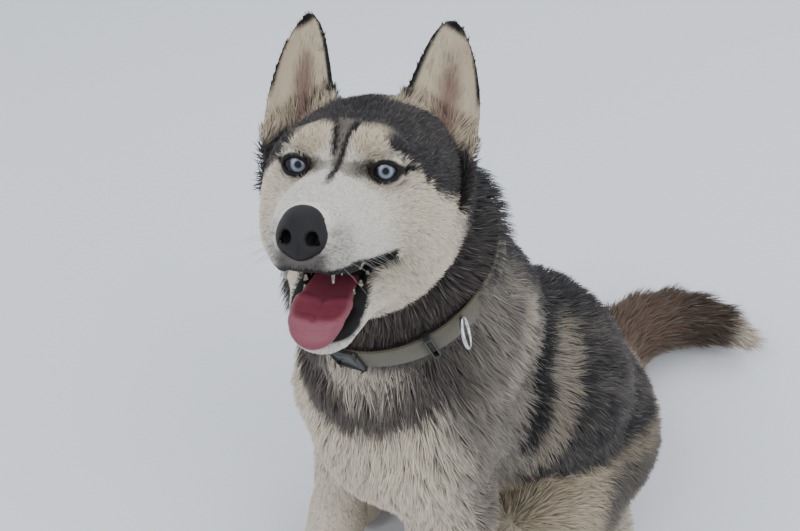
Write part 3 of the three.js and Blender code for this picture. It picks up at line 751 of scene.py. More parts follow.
def tail_colours(colour, points, rough):
    """A brown brush, pale below and at its root, with a cream tip."""
    y, z = points[:, 1], points[:, 2]
    t = tail_share(points)
    shade = painted(np.tile(BROWN, (len(points), 1)), BUFF * 0.8, smooth(0.35, 0.05, t) * 0.8)
    shade = painted(shade, BROWN * 0.4, smooth(0.5, 0.75, t) * 0.75)
    shade = painted(shade, BUFF * 0.75, smooth(45, 18, z) * 0.6)
    shade = painted(shade, CREAM * 0.85, smooth(0.90, 0.955, t + rough * 0.002))
    return colour + (shade - colour) * smooth(235, 262, y)[:, None]


def coat_colour(points):
    rough = wave(points, 30, 11) * 8 + wave(points, 11, 12) * 4
    colour = np.tile(GREY, (len(points), 1))
    colour = painted(colour, PALE_GREY, 0.12 + 0.30 * wave(points, 36, 13))
    for marked in (back_colours, chest_colours, side_colours, tail_colours):
        colour = marked(colour, points, rough)
    return colour


def tail_share(points):
    """How far along the tail each point lies, from 0 at its root to 1 at its tip."""
    best = np.full(len(points), 1e4)
    share = np.zeros(len(points))
    for i, (a, b) in enumerate(zip(TAIL_LINE[:-1], TAIL_LINE[1:])):
        along = b - a
        t = np.clip((points - a) @ along / (along @ along), 0, 1)
        gap = np.linalg.norm(points - a - t[:, None] * along, axis=1)
        share = np.where(gap < best, (i + t) / TAIL_PARTS, share)
        best = np.minimum(best, gap)
    return share


def head_share(points):
    return smooth(-10, 16, past_nape(points))


def markings(points):
    colour = coat_colour(points)
    share = head_share(points)
    near = share > 0
    h = to_head(points[near])
    colour[near] += (head_colour(h) - colour[near]) * share[near][:, None]
    return np.clip(colour, 0.004, 1)


# Skin: one piece over the whole dog, from lips and lids to toes. It is two closed shells, fine on
# the head and coarser on the body, which meet in a flat seam under the collar.
def head_skin(points):
    return np.maximum(skin(points), -above_collar(points))


def body_skin(points):
    return np.maximum(skin(points), above_collar(points))


HEAD_CELL = 2.1
BODY_CELL = 5.4
head_v, head_f = net(head_skin, (-128, -320, 490), (150, 40, 780), HEAD_CELL)
body_v, body_f = net(body_skin, (-190, -230, -8), (190, 610, 630), BODY_CELL)


SEAM = 1.2


def drawn_in(points):
    """The points moved onto the skin, save those on the flat seam under the collar."""
    on_seam = np.abs(above_collar(points)) < SEAM
    return np.where(on_seam[:, None], points, drawn_onto(skin, points))


skin_v = np.concatenate([drawn_in(head_v), drawn_in(body_v)])
skin_f = np.concatenate([head_f, body_f + len(head_v)])
skin_piece = mesh_object("skin", skin_v, skin_f)
bpy.context.view_layer.objects.active = skin_piece
skin_piece.select_set(True)
bpy.ops.object.mode_set(mode="EDIT")
bpy.ops.mesh.select_all(action="SELECT")
bpy.ops.mesh.quads_convert_to_tris()
bpy.ops.uv.smart_project(angle_limit=math.radians(66), island_margin=0.002)
bpy.ops.object.mode_set(mode="OBJECT")
skin_piece.data.uv_layers[0].name = "OFBake"
skin_piece.select_set(False)


def vertex_colour(piece, colours):
    layer = piece.data.color_attributes.new("coat", "FLOAT_COLOR", "POINT")
    filled = np.ones((len(colours), 4), np.float32)
    filled[:, :3] = colours
    layer.data.foreach_set("color", filled.ravel())


class Shade:
    """A socket whose Python sums become Math nodes."""

    def __init__(self, tree, socket):
        self.tree = tree
        self.socket = socket

    def math(self, operation, other):
        return node(self.tree, "ShaderNodeMath", {"operation": operation}, {0: self, 1: other})

    def __add__(self, other):
        return self.math("ADD", other)

    def __mul__(self, other):
        return self.math("MULTIPLY", other)

    __radd__ = __add__
    __rmul__ = __mul__


def node(tree, kind, settings, values, output=0):
    """A new node with its settings, then its sockets' values or links; stops are a ramp's colours."""
    made = tree.nodes.new(kind)
    for key, value in settings.items():
        if key == "stops":
            stops = made.color_ramp.elements
            stops.remove(stops[1])
            for place, colour in value[1:]:
                stops.new(place).color = (*colour, 1)
            stops[0].position = value[0][0]
            stops[0].color = (*value[0][1], 1)
        else:
            setattr(made, key, value)
    for key, value in values.items():
        if isinstance(value, Shade):
            tree.links.new(value.socket, made.inputs[key])
        else:
            made.inputs[key].default_value = value
    return Shade(tree, made.outputs[output])


def finish_of(name, **constants):
    """A material with its own node tree; constants are set on the shader's sockets."""
    material = bpy.data.materials.new(name)
    material.use_nodes = True
    tree = material.node_tree
    shader = tree.nodes["Principled BSDF"]
    for key, value in constants.items():
        shader.inputs[key.replace("_", " ")].default_value = value
    return material, tree, shader


skin_finish, tree, shader = finish_of("short_coat", Roughness=0.75, Specular_IOR_Level=0.25)
paint = node(tree, "ShaderNodeAttribute", {"attribute_name": "coat"}, {})
grain = node(tree, "ShaderNodeTexNoise", {}, {"Scale": 900.0, "Detail": 2.0})
tree.links.new(paint.socket, shader.inputs["Base Color"])
bump = node(tree, "ShaderNodeBump", {}, {"Strength": 0.25, "Distance": 0.0006, "Height": grain})
tree.links.new(bump.socket, shader.inputs["Normal"])
UNDERCOAT_SHADE = 0.8
skin_co = np.empty(len(skin_piece.data.vertices) * 3, np.float32)
skin_piece.data.vertices.foreach_get("co", skin_co)
skin_at = skin_co.reshape(-1, 3).astype(float) * 1000 - MIDDLE
vertex_colour(skin_piece, markings(skin_at) * UNDERCOAT_SHADE)
skin_piece.data.materials.append(skin_finish)
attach(skin_piece, "root")
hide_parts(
    *["head", "jaw", "neck", "chest", "hindquarters", "tail", "ear_left", "ear_right"],
    *["foreleg_left", "foreleg_right", "forepaw_left", "forepaw_right"],
    *["thigh_left", "thigh_right", "hindpaw_left", "hindpaw_right"],
)

# Coat: tapering tufts of hair rooted on the skin, lying from nose to tail and down the legs. Each
# is a flat blade, longest on the mane, breeches and tail. Their tips are drawn together into locks,
# most of all on the chest.
chance = np.random.default_rng(7)
corner_count = len(skin_piece.data.loops)
corners = np.empty(corner_count, np.int32)
skin_piece.data.loops.foreach_get("vertex_index", corners)
triangles = corners.reshape(-1, 3)
unwrap = np.empty(corner_count * 2, np.float32)
skin_piece.data.uv_layers["OFBake"].data.foreach_get("uv", unwrap)
unwrap = unwrap.reshape(-1, 3, 2)
tri_points = skin_at[triangles]
tri_cross = np.cross(tri_points[:, 1] - tri_points[:, 0], tri_points[:, 2] - tri_points[:, 0])
tri_area = np.linalg.norm(tri_cross, axis=1) / 2
tri_middle = tri_points.mean(1)
tri_head = head_share(tri_middle)


def unit(vectors):
    return vectors / np.maximum(np.linalg.norm(vectors, axis=1), 1e-9)[:, None]


def head_lie(h):
    """The way the hair of the head lies: back from the nose, down the cheeks and up the ears."""
    s, f, u = head_reach(h)
    over = np.sign(h[:, 0])
    face = np.stack([0.45 * over * smooth(0, 40, s), -np.ones(len(h)), 0.25 * smooth(-10, 30, u)], 1)
    face[:, 2] -= 0.75 * smooth(0, -60, u) * smooth(90, 20, f)
    face[:, 0] += 0.5 * over * smooth(40, 0, f) * smooth(20, -40, u)
    bridge = smooth(90, 70, f) * smooth(-30, 0, u) * smooth(40, 55, f)
    face[:, 2] += 1.0 * bridge
    rise, across, spread, depth = ear_place(h)
    on_ear = smooth(0.0, 0.15, rise) * smooth(14, 9, np.abs(depth)) * (f < 25)
    outward = np.sign(across) * over
    rim = smooth(0.55, 0.9, np.abs(across) / np.maximum(spread, 0.05))
    fan = outward * smooth(0.0, 0.5, np.abs(across)) * (depth > 0) * (1 - rim)
    lean = 0.07 * over + 0.5 * fan - 0.3 * outward * rim
    ear_way = np.stack([lean, np.full(len(h), -0.3), 0.95 - 0.3 * np.abs(fan)], 1)
    face = face + (ear_way - face) * on_ear[:, None]
    return unit(face) @ HEAD_AXES


def lie(points, normals):
    """The way the hair lies at each place, before it is raised from the skin."""
    x, y, z = points.T
    back = smooth(0.1, 0.8, normals[:, 1] * 0.6 + normals[:, 2])
    way = np.stack([0.12 * np.sign(x), 0.35 + 0.45 * back, -0.85 + 0.25 * back], 1)
    front = smooth(-90, -140, y) * smooth(230, 270, z)
    down = np.stack([0.25 * x / 80, np.full(len(x), -0.1), np.full(len(x), -1.0)], 1)
    way = way + (down - way) * front[:, None]
    leg = smooth(260, 200, z) * smooth(0, -40, y)
    way = way + (np.array((0.0, 0.15, -1.0)) - way) * leg[:, None]
    foot = smooth(60, 30, z) * smooth(200, 120, y)
    way = way + (np.array((0.0, -1.0, -0.25)) - way) * foot[:, None]
    spot = np.clip((tail_share(points) * TAIL_PARTS).astype(int), 0, TAIL_PARTS - 1)
    along = TAIL_LINE[spot + 1] - TAIL_LINE[spot]
    on_tail = smooth(225, 255, y)
    way = way + (unit(along) - way) * on_tail[:, None]
    share = head_share(points)
    near = share > 0
    face = head_lie(to_head(points[near]))
    way[near] += (face - way[near]) * share[near][:, None]
    return way


def rooted(weights, number):
    """Random roots on the skin: place, outward normal and place on its unwrap."""
    odds = np.cumsum(weights)
    picked = np.searchsorted(odds, chance.uniform(0, odds[-1], number))
    a, b = chance.uniform(size=(2, number))
    over = a + b > 1
    a = np.where(over, 1 - a, a)[:, None]
    b = np.where(over, 1 - b, b)[:, None]
    p = tri_points[picked]
    place = p[:, 0] * (1 - a - b) + p[:, 1] * a + p[:, 2] * b
    t = unwrap[picked]
    spot = t[:, 0] * (1 - a - b) + t[:, 1] * a + t[:, 2] * b
    return place, unit(tri_cross[picked]), spot


def hair_here(points):
    """1 where the skin carries hair; 0 on lips, lids, nose and where the collar presses it down."""
    keep = np.ones(len(points))
    near = head_share(points) > 0
    h = to_head(points[near])
    s, f, u = head_reach(h)
    brim = lip_brim(h, inset=1) * smooth(46, 49, f)
    grown = smooth(1.5, 4.0, mouth(h)) * (1 - brim * (s < 40))
    eye = np.sqrt((s - EYE_AT[0]) ** 2 + (f - EYE_AT[1]) ** 2 + (u - EYE_AT[2]) ** 2)
    grown = grown * smooth(12.6, 13.2, eye)
    keep[near] = grown * smooth(0.2, 1.2, nose_shape(h))
    keep = keep * np.where(np.abs(above_collar(points)) < 11, 0, 1)
    return keep * np.where(points[:, 2] < 1.5, 0, 1)


coat_finish, tree, shader = finish_of("long_coat", Roughness=0.62, Specular_IOR_Level=0.3)
paint = node(tree, "ShaderNodeAttribute", {"attribute_name": "coat"}, {})
tree.links.new(paint.socket, shader.inputs["Base Color"])
coat_finish.use_backface_culling = False


LOWEST_HAIR = 0.4
GREY_TIP = np.array([0.26, 0.245, 0.225])
PATCH = 0.003


def centre_lines(root, normal, lies, long, raised, steps):
    """The middle of each tuft from root to tip, raised at the root and bent back at the tip."""
    root_angle, tip_angle = raised * 1.45, raised * 0.55
    middle = [root - normal * 0.4]
    for a, b in zip(steps[:-1], steps[1:]):
        bend = root_angle + (tip_angle - root_angle) * ((a + b) / 2)
        way = lies * np.cos(bend)[:, None] + normal * np.sin(bend)[:, None]
        middle.append(middle[-1] + way * (long * (b - a))[:, None])
    return middle


def gathered(middle, steps, root, size, pull):
    """The tufts of each cell of skin, with their ends pulled together into a lock."""
    cells = np.floor(root / size + wave(root, size * 4, 31)[:, None] * 0.5).astype(np.int64)
    key = cells @ np.array([73856093, 19349663, 83492791])
    _, lock = np.unique(key, return_inverse=True)
    in_lock = np.bincount(lock).astype(float)[:, None]
    tips = np.stack([np.bincount(lock, middle[-1][:, axis]) for axis in range(3)], 1)
    to_tip = (tips / in_lock)[lock] - middle[-1]
    return middle[:1] + [m + to_tip * (pull * t**1.6) for m, t in zip(middle[1:], steps[1:])]


def ribbons(middle, steps, across, thick):
    """Vertices of a flat blade round each middle line, with one point at its tip."""
    rows = []
    for i, centre in enumerate(middle[:-1]):
        half = thick * (1 - steps[i] ** 1.7) / 2 * (0.75 if i == 0 else 1)
        rows += [centre - across * half[:, None], centre + across * half[:, None]]
    rows.append(middle[-1])
    vertices = np.stack(rows, 1).reshape(-1, 3)
    vertices[:, 2] = np.maximum(vertices[:, 2], LOWEST_HAIR)
    return vertices, len(rows)


def blade_faces(sections, number, per):
    """Triangles of every blade: two for each section below the last, and one for the tip."""
    pattern = []
    for k in range(0, 2 * (sections - 1), 2):
        pattern += [(k, k + 1, k + 3), (k, k + 3, k + 2)]
    k = 2 * (sections - 1)
    pattern.append((k, k + 1, k + 2))
    return (np.arange(number)[:, None, None] * per + np.array(pattern)[None]).reshape(-1, 3)


def hair_colours(shade, reach):
    """Each tuft's colour, darker at its root, with a few dark tufts tipped with grey."""
    colours = shade[:, None, :] * (0.62 + 0.42 * reach)[None, :, None]
    salt = (chance.uniform(size=len(shade)) < 0.10) * smooth(0.25, 0.02, shade.mean(1))
    ends = smooth(0.35, 0.8, reach)[None, :, None] * salt[:, None, None]
    colours = colours + (GREY_TIP - colours) * ends * 0.5
    return np.clip(colours, 0.003, 0.95).reshape(-1, 3)


def tufts(name, weights, number, shape, sections, lock_size, lock_pull):
    """One piece of coat; shape is three functions of the roots' places: length, width and lift."""
    root, normal, spot = rooted(weights, number)
    kept = hair_here(root) > chance.uniform(0, 1, number)
    root, normal, spot = root[kept], normal[kept], spot[kept]
    n = len(root)
    lies = lie(root, normal)
    lies = unit(lies - (lies * normal).sum(1)[:, None] * normal)
    side = np.cross(normal, lies)
    sway = wave(root, 26, 21) * 0.28 + wave(root, 9, 22) * 0.18 + chance.normal(0, 0.14, n)
    lies = unit(lies + side * sway[:, None])
    length, width, lift = shape
    long = length(root) * chance.uniform(0.72, 1.12, n)
    thick = width(root) * chance.uniform(0.75, 1.25, n)
    raised = lift(root) * chance.uniform(0.75, 1.2, n)
    steps = np.linspace(0, 1, sections + 1)
    middle = centre_lines(root, normal, lies, long, raised, steps)
    middle = gathered(middle, steps, root, lock_size, lock_pull)
    roll = chance.normal(0, 0.5, n)
    side = unit(np.cross(normal, middle[-1] - middle[0]))
    across = side * np.cos(roll)[:, None] + normal * np.sin(roll)[:, None]
    vertices, per = ribbons(middle, steps, across, thick)
    faces = blade_faces(sections, n, per)
    piece = mesh_object(name, vertices, faces)
    stray = chance.normal(0, 1, (n, 3)) * np.minimum(long * 0.10, coat_depth(root) * 0.3)[:, None]
    shade = markings(root + lies * (long * 0.2)[:, None] + stray)
    shade = shade * chance.uniform(0.78, 1.18, n)[:, None]
    reach = np.repeat(steps, 2)[:per]
    vertex_colour(piece, hair_colours(shade, reach))
    layer = piece.data.uv_layers.new(name="OFBake")
    patch = np.stack([np.arange(per) % 2 - 0.5, reach - 0.5], 1) * PATCH
    place_uv = (spot[:, None, :] + patch[None]).reshape(-1, 2)
    layer.data.foreach_set("uv", place_uv[faces.ravel()].astype(np.float32).ravel())
    piece.data.materials.append(coat_finish)
    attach(piece, "root")


def hair_length(points):
    depth = coat_depth(points)
    nape = smooth(0, 25, above_collar(points)) * smooth(450, 500, points[:, 2])
    return np.clip(depth * (1.9 - 0.8 * nape), 5, 46) + 19 * over_collar(points)


def face_length(points):
    depth = coat_depth(points)
    rise, across, spread, gap = ear_place(to_head(points))
    in_ear = (gap > 0.5) * smooth(0.0, 0.2, rise) * smooth(0.95, 0.7, rise) * (np.abs(gap) < 12)
    in_ear = in_ear * smooth(0.95, 0.6, np.abs(across) / np.maximum(spread, 0.05))
    return np.clip(depth * 1.9, 4.0, 14) + 9 * in_ear


def hair_width(points):
    return np.clip(0.55 + coat_depth(points) * 0.045, 0.65, 1.6)


def over_collar(points):
    """1 just above the collar where the mane falls over it, 0 round the slider and the ring."""
    offset = points - COLLAR_AT
    front = offset @ np.cross(np.array([1.0, 0, 0]), COLLAR_AXIS)
    turn = np.degrees(np.arctan2(offset[:, 0], front))
    open_here = smooth(-22, -8, turn) * smooth(98, 86, turn)
    rise = above_collar(points)
    return (1 - open_here) * smooth(6, 10, rise) * smooth(34, 20, rise)


def hair_lift(points):
    lift = np.arcsin(np.clip(coat_depth(points) * 0.92 / hair_length(points), 0.05, 0.8))
    return lift * (1 - 0.4 * smooth(480, 540, points[:, 2])) + 0.22 * over_collar(points)


def face_lift(points):
    raised = np.arcsin(np.clip(coat_depth(points) * 0.85 / face_length(points), 0.06, 0.5))
    return np.clip(raised, 0.07, 0.5)


share = 1.0
FACE_TUFTS = 56000
front_face = smooth(-30, 20, to_head(tri_middle)[:, 1])
for i in range(3):
    tufts(
        f"coat_head_{i + 1}",
        tri_area * (tri_head > 0.5) * (0.6 + 0.8 * front_face),
        int(FACE_TUFTS * share),
        (face_length, hair_width, face_lift),
        sections=2,
        lock_size=5.0,
        lock_pull=0.3,
    )
y, z = tri_middle[:, 1], tri_middle[:, 2]
behind = tri_head <= 0.5
for name, chosen, number, pull in (
    ("neck", behind & (z > 470), 38000, 0.3),
    ("chest", behind & (z <= 470) & (y < -30) & (z > 230), 39000, 0.6),
    ("back", behind & (y >= -30) & (y < 240) & (z > 190), 39000, 0.3),
    ("rump", (y >= 20) & (y < 240) & (z <= 190), 31000, 0.35),
    ("legs", (z <= 230) & (y < 20), 34000, 0.3),
    ("tail", y >= 240, 26000, 0.15),
):
    tufts(
        f"coat_{name}",
        tri_area * chosen,
        int(number * share),
        (hair_length, hair_width, hair_lift),
        sections=3,
        lock_size=11.0,
        lock_pull=pull,
    )

# Eyes: smooth, glossy balls behind the lids, with a pale blue iris and a small pupil, turned most
# of the way to the camera.
EYE_RINGS = [
    (0.0, (0.004, 0.004, 0.006)),
    (0.31, (0.006, 0.006, 0.009)),
    (0.38, (0.08, 0.10, 0.15)),
    (0.60, (0.20, 0.23, 0.295)),
    (0.76, (0.09, 0.105, 0.14)),
    (0.84, (0.015, 0.018, 0.03)),
    (1.0, (0.01, 0.008, 0.008)),
]
GAZE_REACH = 0.62
GAZE_AT_CAMERA = 0.75
eye_finish, tree, shader = finish_of("clear_eye", Roughness=0.05, IOR=1.38)
ring = node(tree, "ShaderNodeAttribute", {"attribute_name": "gaze"}, {}, 2)
streak = node(tree, "ShaderNodeTexNoise", {}, {"Scale": 900.0, "Detail": 3.0})
iris = node(tree, "ShaderNodeValToRGB", {"stops": EYE_RINGS}, {"Fac": ring + (streak * 0.06 + -0.03)})
tree.links.new(iris.socket, shader.inputs["Base Color"])
for side, name in ((-1, "eye_right"), (1, "eye_left")):
    centre = from_head([(side * EYE_AT[0], EYE_AT[1], EYE_AT[2])])[0]
    bpy.ops.mesh.primitive_uv_sphere_add(segments=64, ring_count=40, radius=EYE_RADIUS / 1000)
    eye = bpy.context.object
    eye.name = name + "_ball"
    to_camera = unit((CAMERA_AT - centre)[None])[0]
    look = to_camera * GAZE_AT_CAMERA + HEAD_AXES[1] * (1 - GAZE_AT_CAMERA)
    look = Vector(look).normalized()
    turn = look.to_track_quat("Z", "Y").to_matrix().to_4x4()
    middle = Vector(placed(centre))
    eye.data.transform(Matrix.Translation(middle) @ turn)
    gaze = eye.data.attributes.new("gaze", "FLOAT", "POINT")
    reach = [(vertex.co - middle).angle(look) / GAZE_REACH for vertex in eye.data.vertices]
    gaze.data.foreach_set("value", np.clip(reach, 0, 1))
    bpy.ops.object.shade_smooth()
    eye.data.materials.append(eye_finish)
    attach(eye, "root")
    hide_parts(name)
    eye.select_set(False)

# Nose: bare, grained leather with comma-shaped nostrils and a groove down to the lip.
nostrils = [ball((side * 8, 153, -33), (3.4, 8, 4.2))[0] for side in BOTH]
slits = [bone((side * 10, 152, -35), (side * 15, 144, -38.5), 1.9, 1.2)[0] for side in BOTH]
groove = bone((0, 158, -30), (0, 153, -53), 0.9, 1.2)[0]


NOSE_BACK = 126


def nose_leather(h):
    holes = np.minimum.reduce([hole(h) for hole in nostrils + slits])
    d = soft_cut(nose_shape(h), holes, 2)
    d = soft_cut(d, groove(h), 1.5)
    return np.maximum(d, NOSE_BACK - h[:, 1])


def head_piece(name, field, low, high, cell):
    """A mesh of a field in the head's axes, which are left-handed, so its faces are turned over."""
    vertices, faces = net(field, low, high, cell)
    return mesh_object(name, from_head(drawn_onto(field, vertices)), faces[:, ::-1])


nose = head_piece("nose_leather", nose_leather, (-26, 120, -60), (26, 162, -8), cell=1.0)
nose_finish, tree, shader = finish_of(
    "nose_leather", Base_Color=(0.009, 0.008, 0.009, 1), Roughness=0.4, Specular_IOR_Level=0.3
)
pebble = node(tree, "ShaderNodeTexVoronoi", {}, {"Scale": 900.0})
bump = node(tree, "ShaderNodeBump", {}, {"Strength": 0.5, "Distance": 0.0005, "Height": pebble})
tree.links.new(bump.socket, shader.inputs["Normal"])
nose.data.materials.append(nose_finish)
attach(nose, "root")
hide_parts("nose")

# Tongue: a flat, wet muscle that lies on the lower jaw and droops over its lip, with a groove down
# the middle.
tongue_core = blended(
    [
        bone((0, 50, -74), (0, 92, -91), 17, 20, blend=4),
        bone((0, 92, -91), (0, 100, -99), 20, 20.5, blend=6),
    ]
)
tongue_slab = blended(
    [
        bone((0, 46, -76), (0, 86, -88), 4, 4, wide=9, blend=4),
        bone((0, 86, -88), (0, 108, -97), 4, 3.6, wide=9, blend=5),
        bone((0, 108, -97), (0, 117, -114), 3.6, 2.8, wide=9, blend=6),
    ]
)
tongue_groove = blended(
    [
        bone((0, 46, -70.5), (0, 86, -82.5), 1.6, 1.6, blend=3),
        bone((0, 86, -82.5), (0, 111, -92), 1.6, 1.2, blend=3),
    ]
)


TONGUE_CUP = 0.008


def tongue_shape(h):
    """The slab's outline cut to the core's width, with its sides curled up."""
    cupped = h.copy()
    cupped[:, 2] = cupped[:, 2] - TONGUE_CUP * h[:, 0] ** 2
    body = -soft_union(-tongue_core(h), -tongue_slab(cupped), 5)
    return soft_cut(body, tongue_groove(cupped), 3)


tongue = head_piece("tongue_flesh", tongue_shape, (-30, 36, -136), (30, 132, -60), cell=1.4)
tongue_finish, tree, shader = finish_of(
    "wet_tongue", Roughness=0.32, Subsurface_Weight=0.15, Subsurface_Scale=0.004
)
patchy = node(tree, "ShaderNodeTexNoise", {}, {"Scale": 90.0, "Detail": 3.0})
pink = [(0.3, tuple(linear(0.40, 0.19, 0.235))), (0.7, tuple(linear(0.54, 0.27, 0.32)))]
hue = node(tree, "ShaderNodeValToRGB", {"stops": pink}, {"Fac": patchy})
tree.links.new(hue.socket, shader.inputs["Base Color"])
pimple = node(tree, "ShaderNodeTexVoronoi", {}, {"Scale": 1100.0})
bump = node(tree, "ShaderNodeBump", {}, {"Strength": 0.3, "Distance": 0.0004, "Height": pimple})
tree.links.new(bump.socket, shader.inputs["Normal"])
tongue.data.materials.append(tongue_finish)
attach(tongue, "root")
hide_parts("tongue")

# Teeth: straight canines, with small cutting teeth between them and cheek teeth behind, each a
# blunt cone of ivory with softened edges, all joined.
tooth_finish, tree, shader = finish_of(
    "ivory", Base_Color=(0.72, 0.66, 0.52, 1), Roughness=0.25, Coat_Weight=0.3
)
teeth = []


def tooth(at, way, radius, height):
    """A cone of so many millimetres, whose point lies along the way in the head's axes."""
    bpy.ops.mesh.primitive_cone_add(
        vertices=14, radius1=radius / 1000, radius2=radius / 5000, depth=height / 1000
    )
    one = bpy.context.object
    bpy.ops.object.mode_set(mode="EDIT")
    bpy.ops.mesh.select_all(action="SELECT")
    bpy.ops.mesh.bevel(offset=radius / 6000, segments=2)
    bpy.ops.object.mode_set(mode="OBJECT")
    axis = Vector(np.array(way, float) @ HEAD_AXES).normalized()
    middle = from_head([at])[0]
    turn = axis.to_track_quat("Z", "Y").to_matrix().to_4x4()
    one.data.transform(Matrix.Translation(Vector(placed(middle))) @ turn)
    bpy.ops.object.shade_smooth()
    teeth.append(one)
    one.select_set(False)


def joined(parts, name):
    """The parts made one piece, left selected."""
    for part in parts:
        part.select_set(True)
    bpy.context.view_layer.objects.active = parts[0]
    bpy.ops.object.join()
    parts[0].name = name
    return parts[0]


for side in BOTH:
    tooth((side * 15, 125, -57), (side * 0.1, 0.12, -1), 2.8, 15)
    tooth(on_jaw(side * 14.5, 103, -47), (side * 0.2, 0.4, 1), 2.6, 12)
    for i, (f, r) in enumerate(((112, 2.0), (103, 2.6), (92, 3.4), (80, 4.4))):
        tooth((side * (17.5 + i * 1.6), f, -57 - i * 0.4), (0, 0, -1), r, 9)
    for i, (f, r) in enumerate(((92, 1.8), (82, 2.4), (71, 3.0), (60, 3.6))):
        tooth(on_jaw(side * (15 + i * 2.3), f, -45.5), (0, 0.3, 1), r, 8)
    for i in range(3):
        tooth((side * (2 + i * 3.7), 131 - i * 1.3, -53), (0, 0.1, -1), 1.8, 7)
        tooth(on_jaw(side * (1.6 + i * 2.9), 109 - i * 1.0, -52), (0, 0.3, 1), 1.5, 6)
tooth_row = joined(teeth, "teeth")
tooth_row.data.materials.append(tooth_finish)
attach(tooth_row, "root")
tooth_row.select_set(False)

# Collar: one loop of woven olive webbing that sinks into the mane, with a slider and a keeper of
# dark plastic and a steel ring.
web_finish, tree, shader = finish_of("webbing", Roughness=0.8, Sheen_Weight=0.2)
here = node(tree, "ShaderNodeTexCoord", {}, {}, 3)
threads = {"Vector": here, "Scale": 420.0, "Distortion": 1.0}
weave = node(tree, "ShaderNodeTexWave", {"bands_direction": "Z"}, threads)
shades = [(0.0, (0.050, 0.043, 0.023)), (1.0, (0.105, 0.090, 0.053))]
cloth = node(tree, "ShaderNodeValToRGB", {"stops": shades}, {"Fac": weave})
tree.links.new(cloth.socket, shader.inputs["Base Color"])
bump = node(tree, "ShaderNodeBump", {}, {"Strength": 0.5, "Distance": 0.0005, "Height": weave})
tree.links.new(bump.socket, shader.inputs["Normal"])
LOOP_RADIUS = 0.088
LOOP_WIDTH = 0.024
LOOP_SHIFT = Matrix.Translation((0.005, -0.0042, 0))
LOOP_OVAL = Matrix.Diagonal((1, 1.06, 1, 1))
collar_turn = Matrix.Translation(Vector(placed(COLLAR_AT))) @ Matrix.Rotation(COLLAR_TILT, 4, "X")
bpy.ops.mesh.primitive_cylinder_add(
    vertices=128, radius=LOOP_RADIUS, depth=LOOP_WIDTH, end_fill_type="NOTHING"
)
collar = bpy.context.object
collar.name = "collar_webbing"
wall = collar.modifiers.new("wall", "SOLIDIFY")
wall.thickness = 0.0026
wall.offset = 0
soft_edge = collar.modifiers.new("soft_edge", "BEVEL")
soft_edge.width = 0.0009
soft_edge.segments = 2
bpy.ops.object.modifier_apply(modifier="wall")
bpy.ops.object.modifier_apply(modifier="soft_edge")
collar.data.transform(collar_turn @ LOOP_SHIFT @ LOOP_OVAL)
bpy.ops.object.shade_smooth_by_angle()
collar.data.materials.append(web_finish)
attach(collar, "root")
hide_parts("collar")
collar.select_set(False)


def on_collar(piece, degrees, outward, rise=0.0, twist=0.0):
    """The piece moved to its place round the collar, counted from the front to the dog's left."""
    a = math.radians(degrees)
    spot = Matrix.Translation((math.sin(a) * outward, -math.cos(a) * outward, rise))
    turn = Matrix.Rotation(a, 4, "Z")
    piece.data.transform(collar_turn @ spot @ turn @ Matrix.Rotation(math.radians(twist), 4, "Z"))


slider_finish, tree, shader = finish_of(
    "dark_plastic", Base_Color=(0.02, 0.02, 0.02, 1), Roughness=0.4
)


def frame_bar(name, wide, deep, tall, bar):
    """A rounded frame that the webbing threads, open through its middle."""
    bpy.ops.mesh.primitive_cube_add(size=1, scale=(wide, deep, tall))
    piece = bpy.context.object
    piece.name = name
    bpy.ops.object.transform_apply(location=True, rotation=True, scale=True)
    for face in piece.data.polygons:
        face.select = abs(face.normal.y) > 0.9
    bpy.ops.object.mode_set(mode="EDIT")
    bpy.ops.mesh.select_mode(type="FACE")
    bpy.ops.mesh.inset(thickness=bar, use_individual=True)
    bpy.ops.mesh.bridge_edge_loops()
    bpy.ops.mesh.select_all(action="SELECT")
    bpy.ops.mesh.normals_make_consistent(inside=False)
    bpy.ops.mesh.bevel(offset=0.0011, segments=3)
    bpy.ops.object.mode_set(mode="OBJECT")
    piece.data.materials.append(slider_finish)
    return piece


slider = frame_bar("collar_slider", 0.028, 0.0045, 0.0295, 0.0036)
on_collar(slider, 24, 0.1005)
bpy.ops.object.shade_smooth_by_angle()
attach(slider, "root")
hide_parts("collar_buckle")
slider.select_set(False)

keeper = frame_bar("collar_keeper", 0.0065, 0.0085, 0.0285, 0.0014)
on_collar(keeper, 66, 0.0965)
bpy.ops.object.shade_smooth_by_angle()
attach(keeper, "root")
keeper.select_set(False)

bpy.ops.mesh.primitive_torus_add(
    major_segments=64,
    minor_segments=16,
    major_radius=0.0125,
    minor_radius=0.0015,
    rotation=(math.pi / 2, 0, 0),
)
hoop = bpy.context.object
hoop.name = "collar_hoop"
bpy.ops.object.transform_apply(location=True, rotation=True, scale=True)
on_collar(hoop, 82, 0.1035, rise=0.001, twist=58)
bpy.ops.object.shade_smooth()
steel_finish, tree, shader = finish_of(
    "steel", Base_Color=(0.6, 0.6, 0.61, 1), Metallic=1.0, Roughness=0.22
)
hoop.data.materials.append(steel_finish)
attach(hoop, "root")
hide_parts("collar_ring")
hoop.select_set(False)

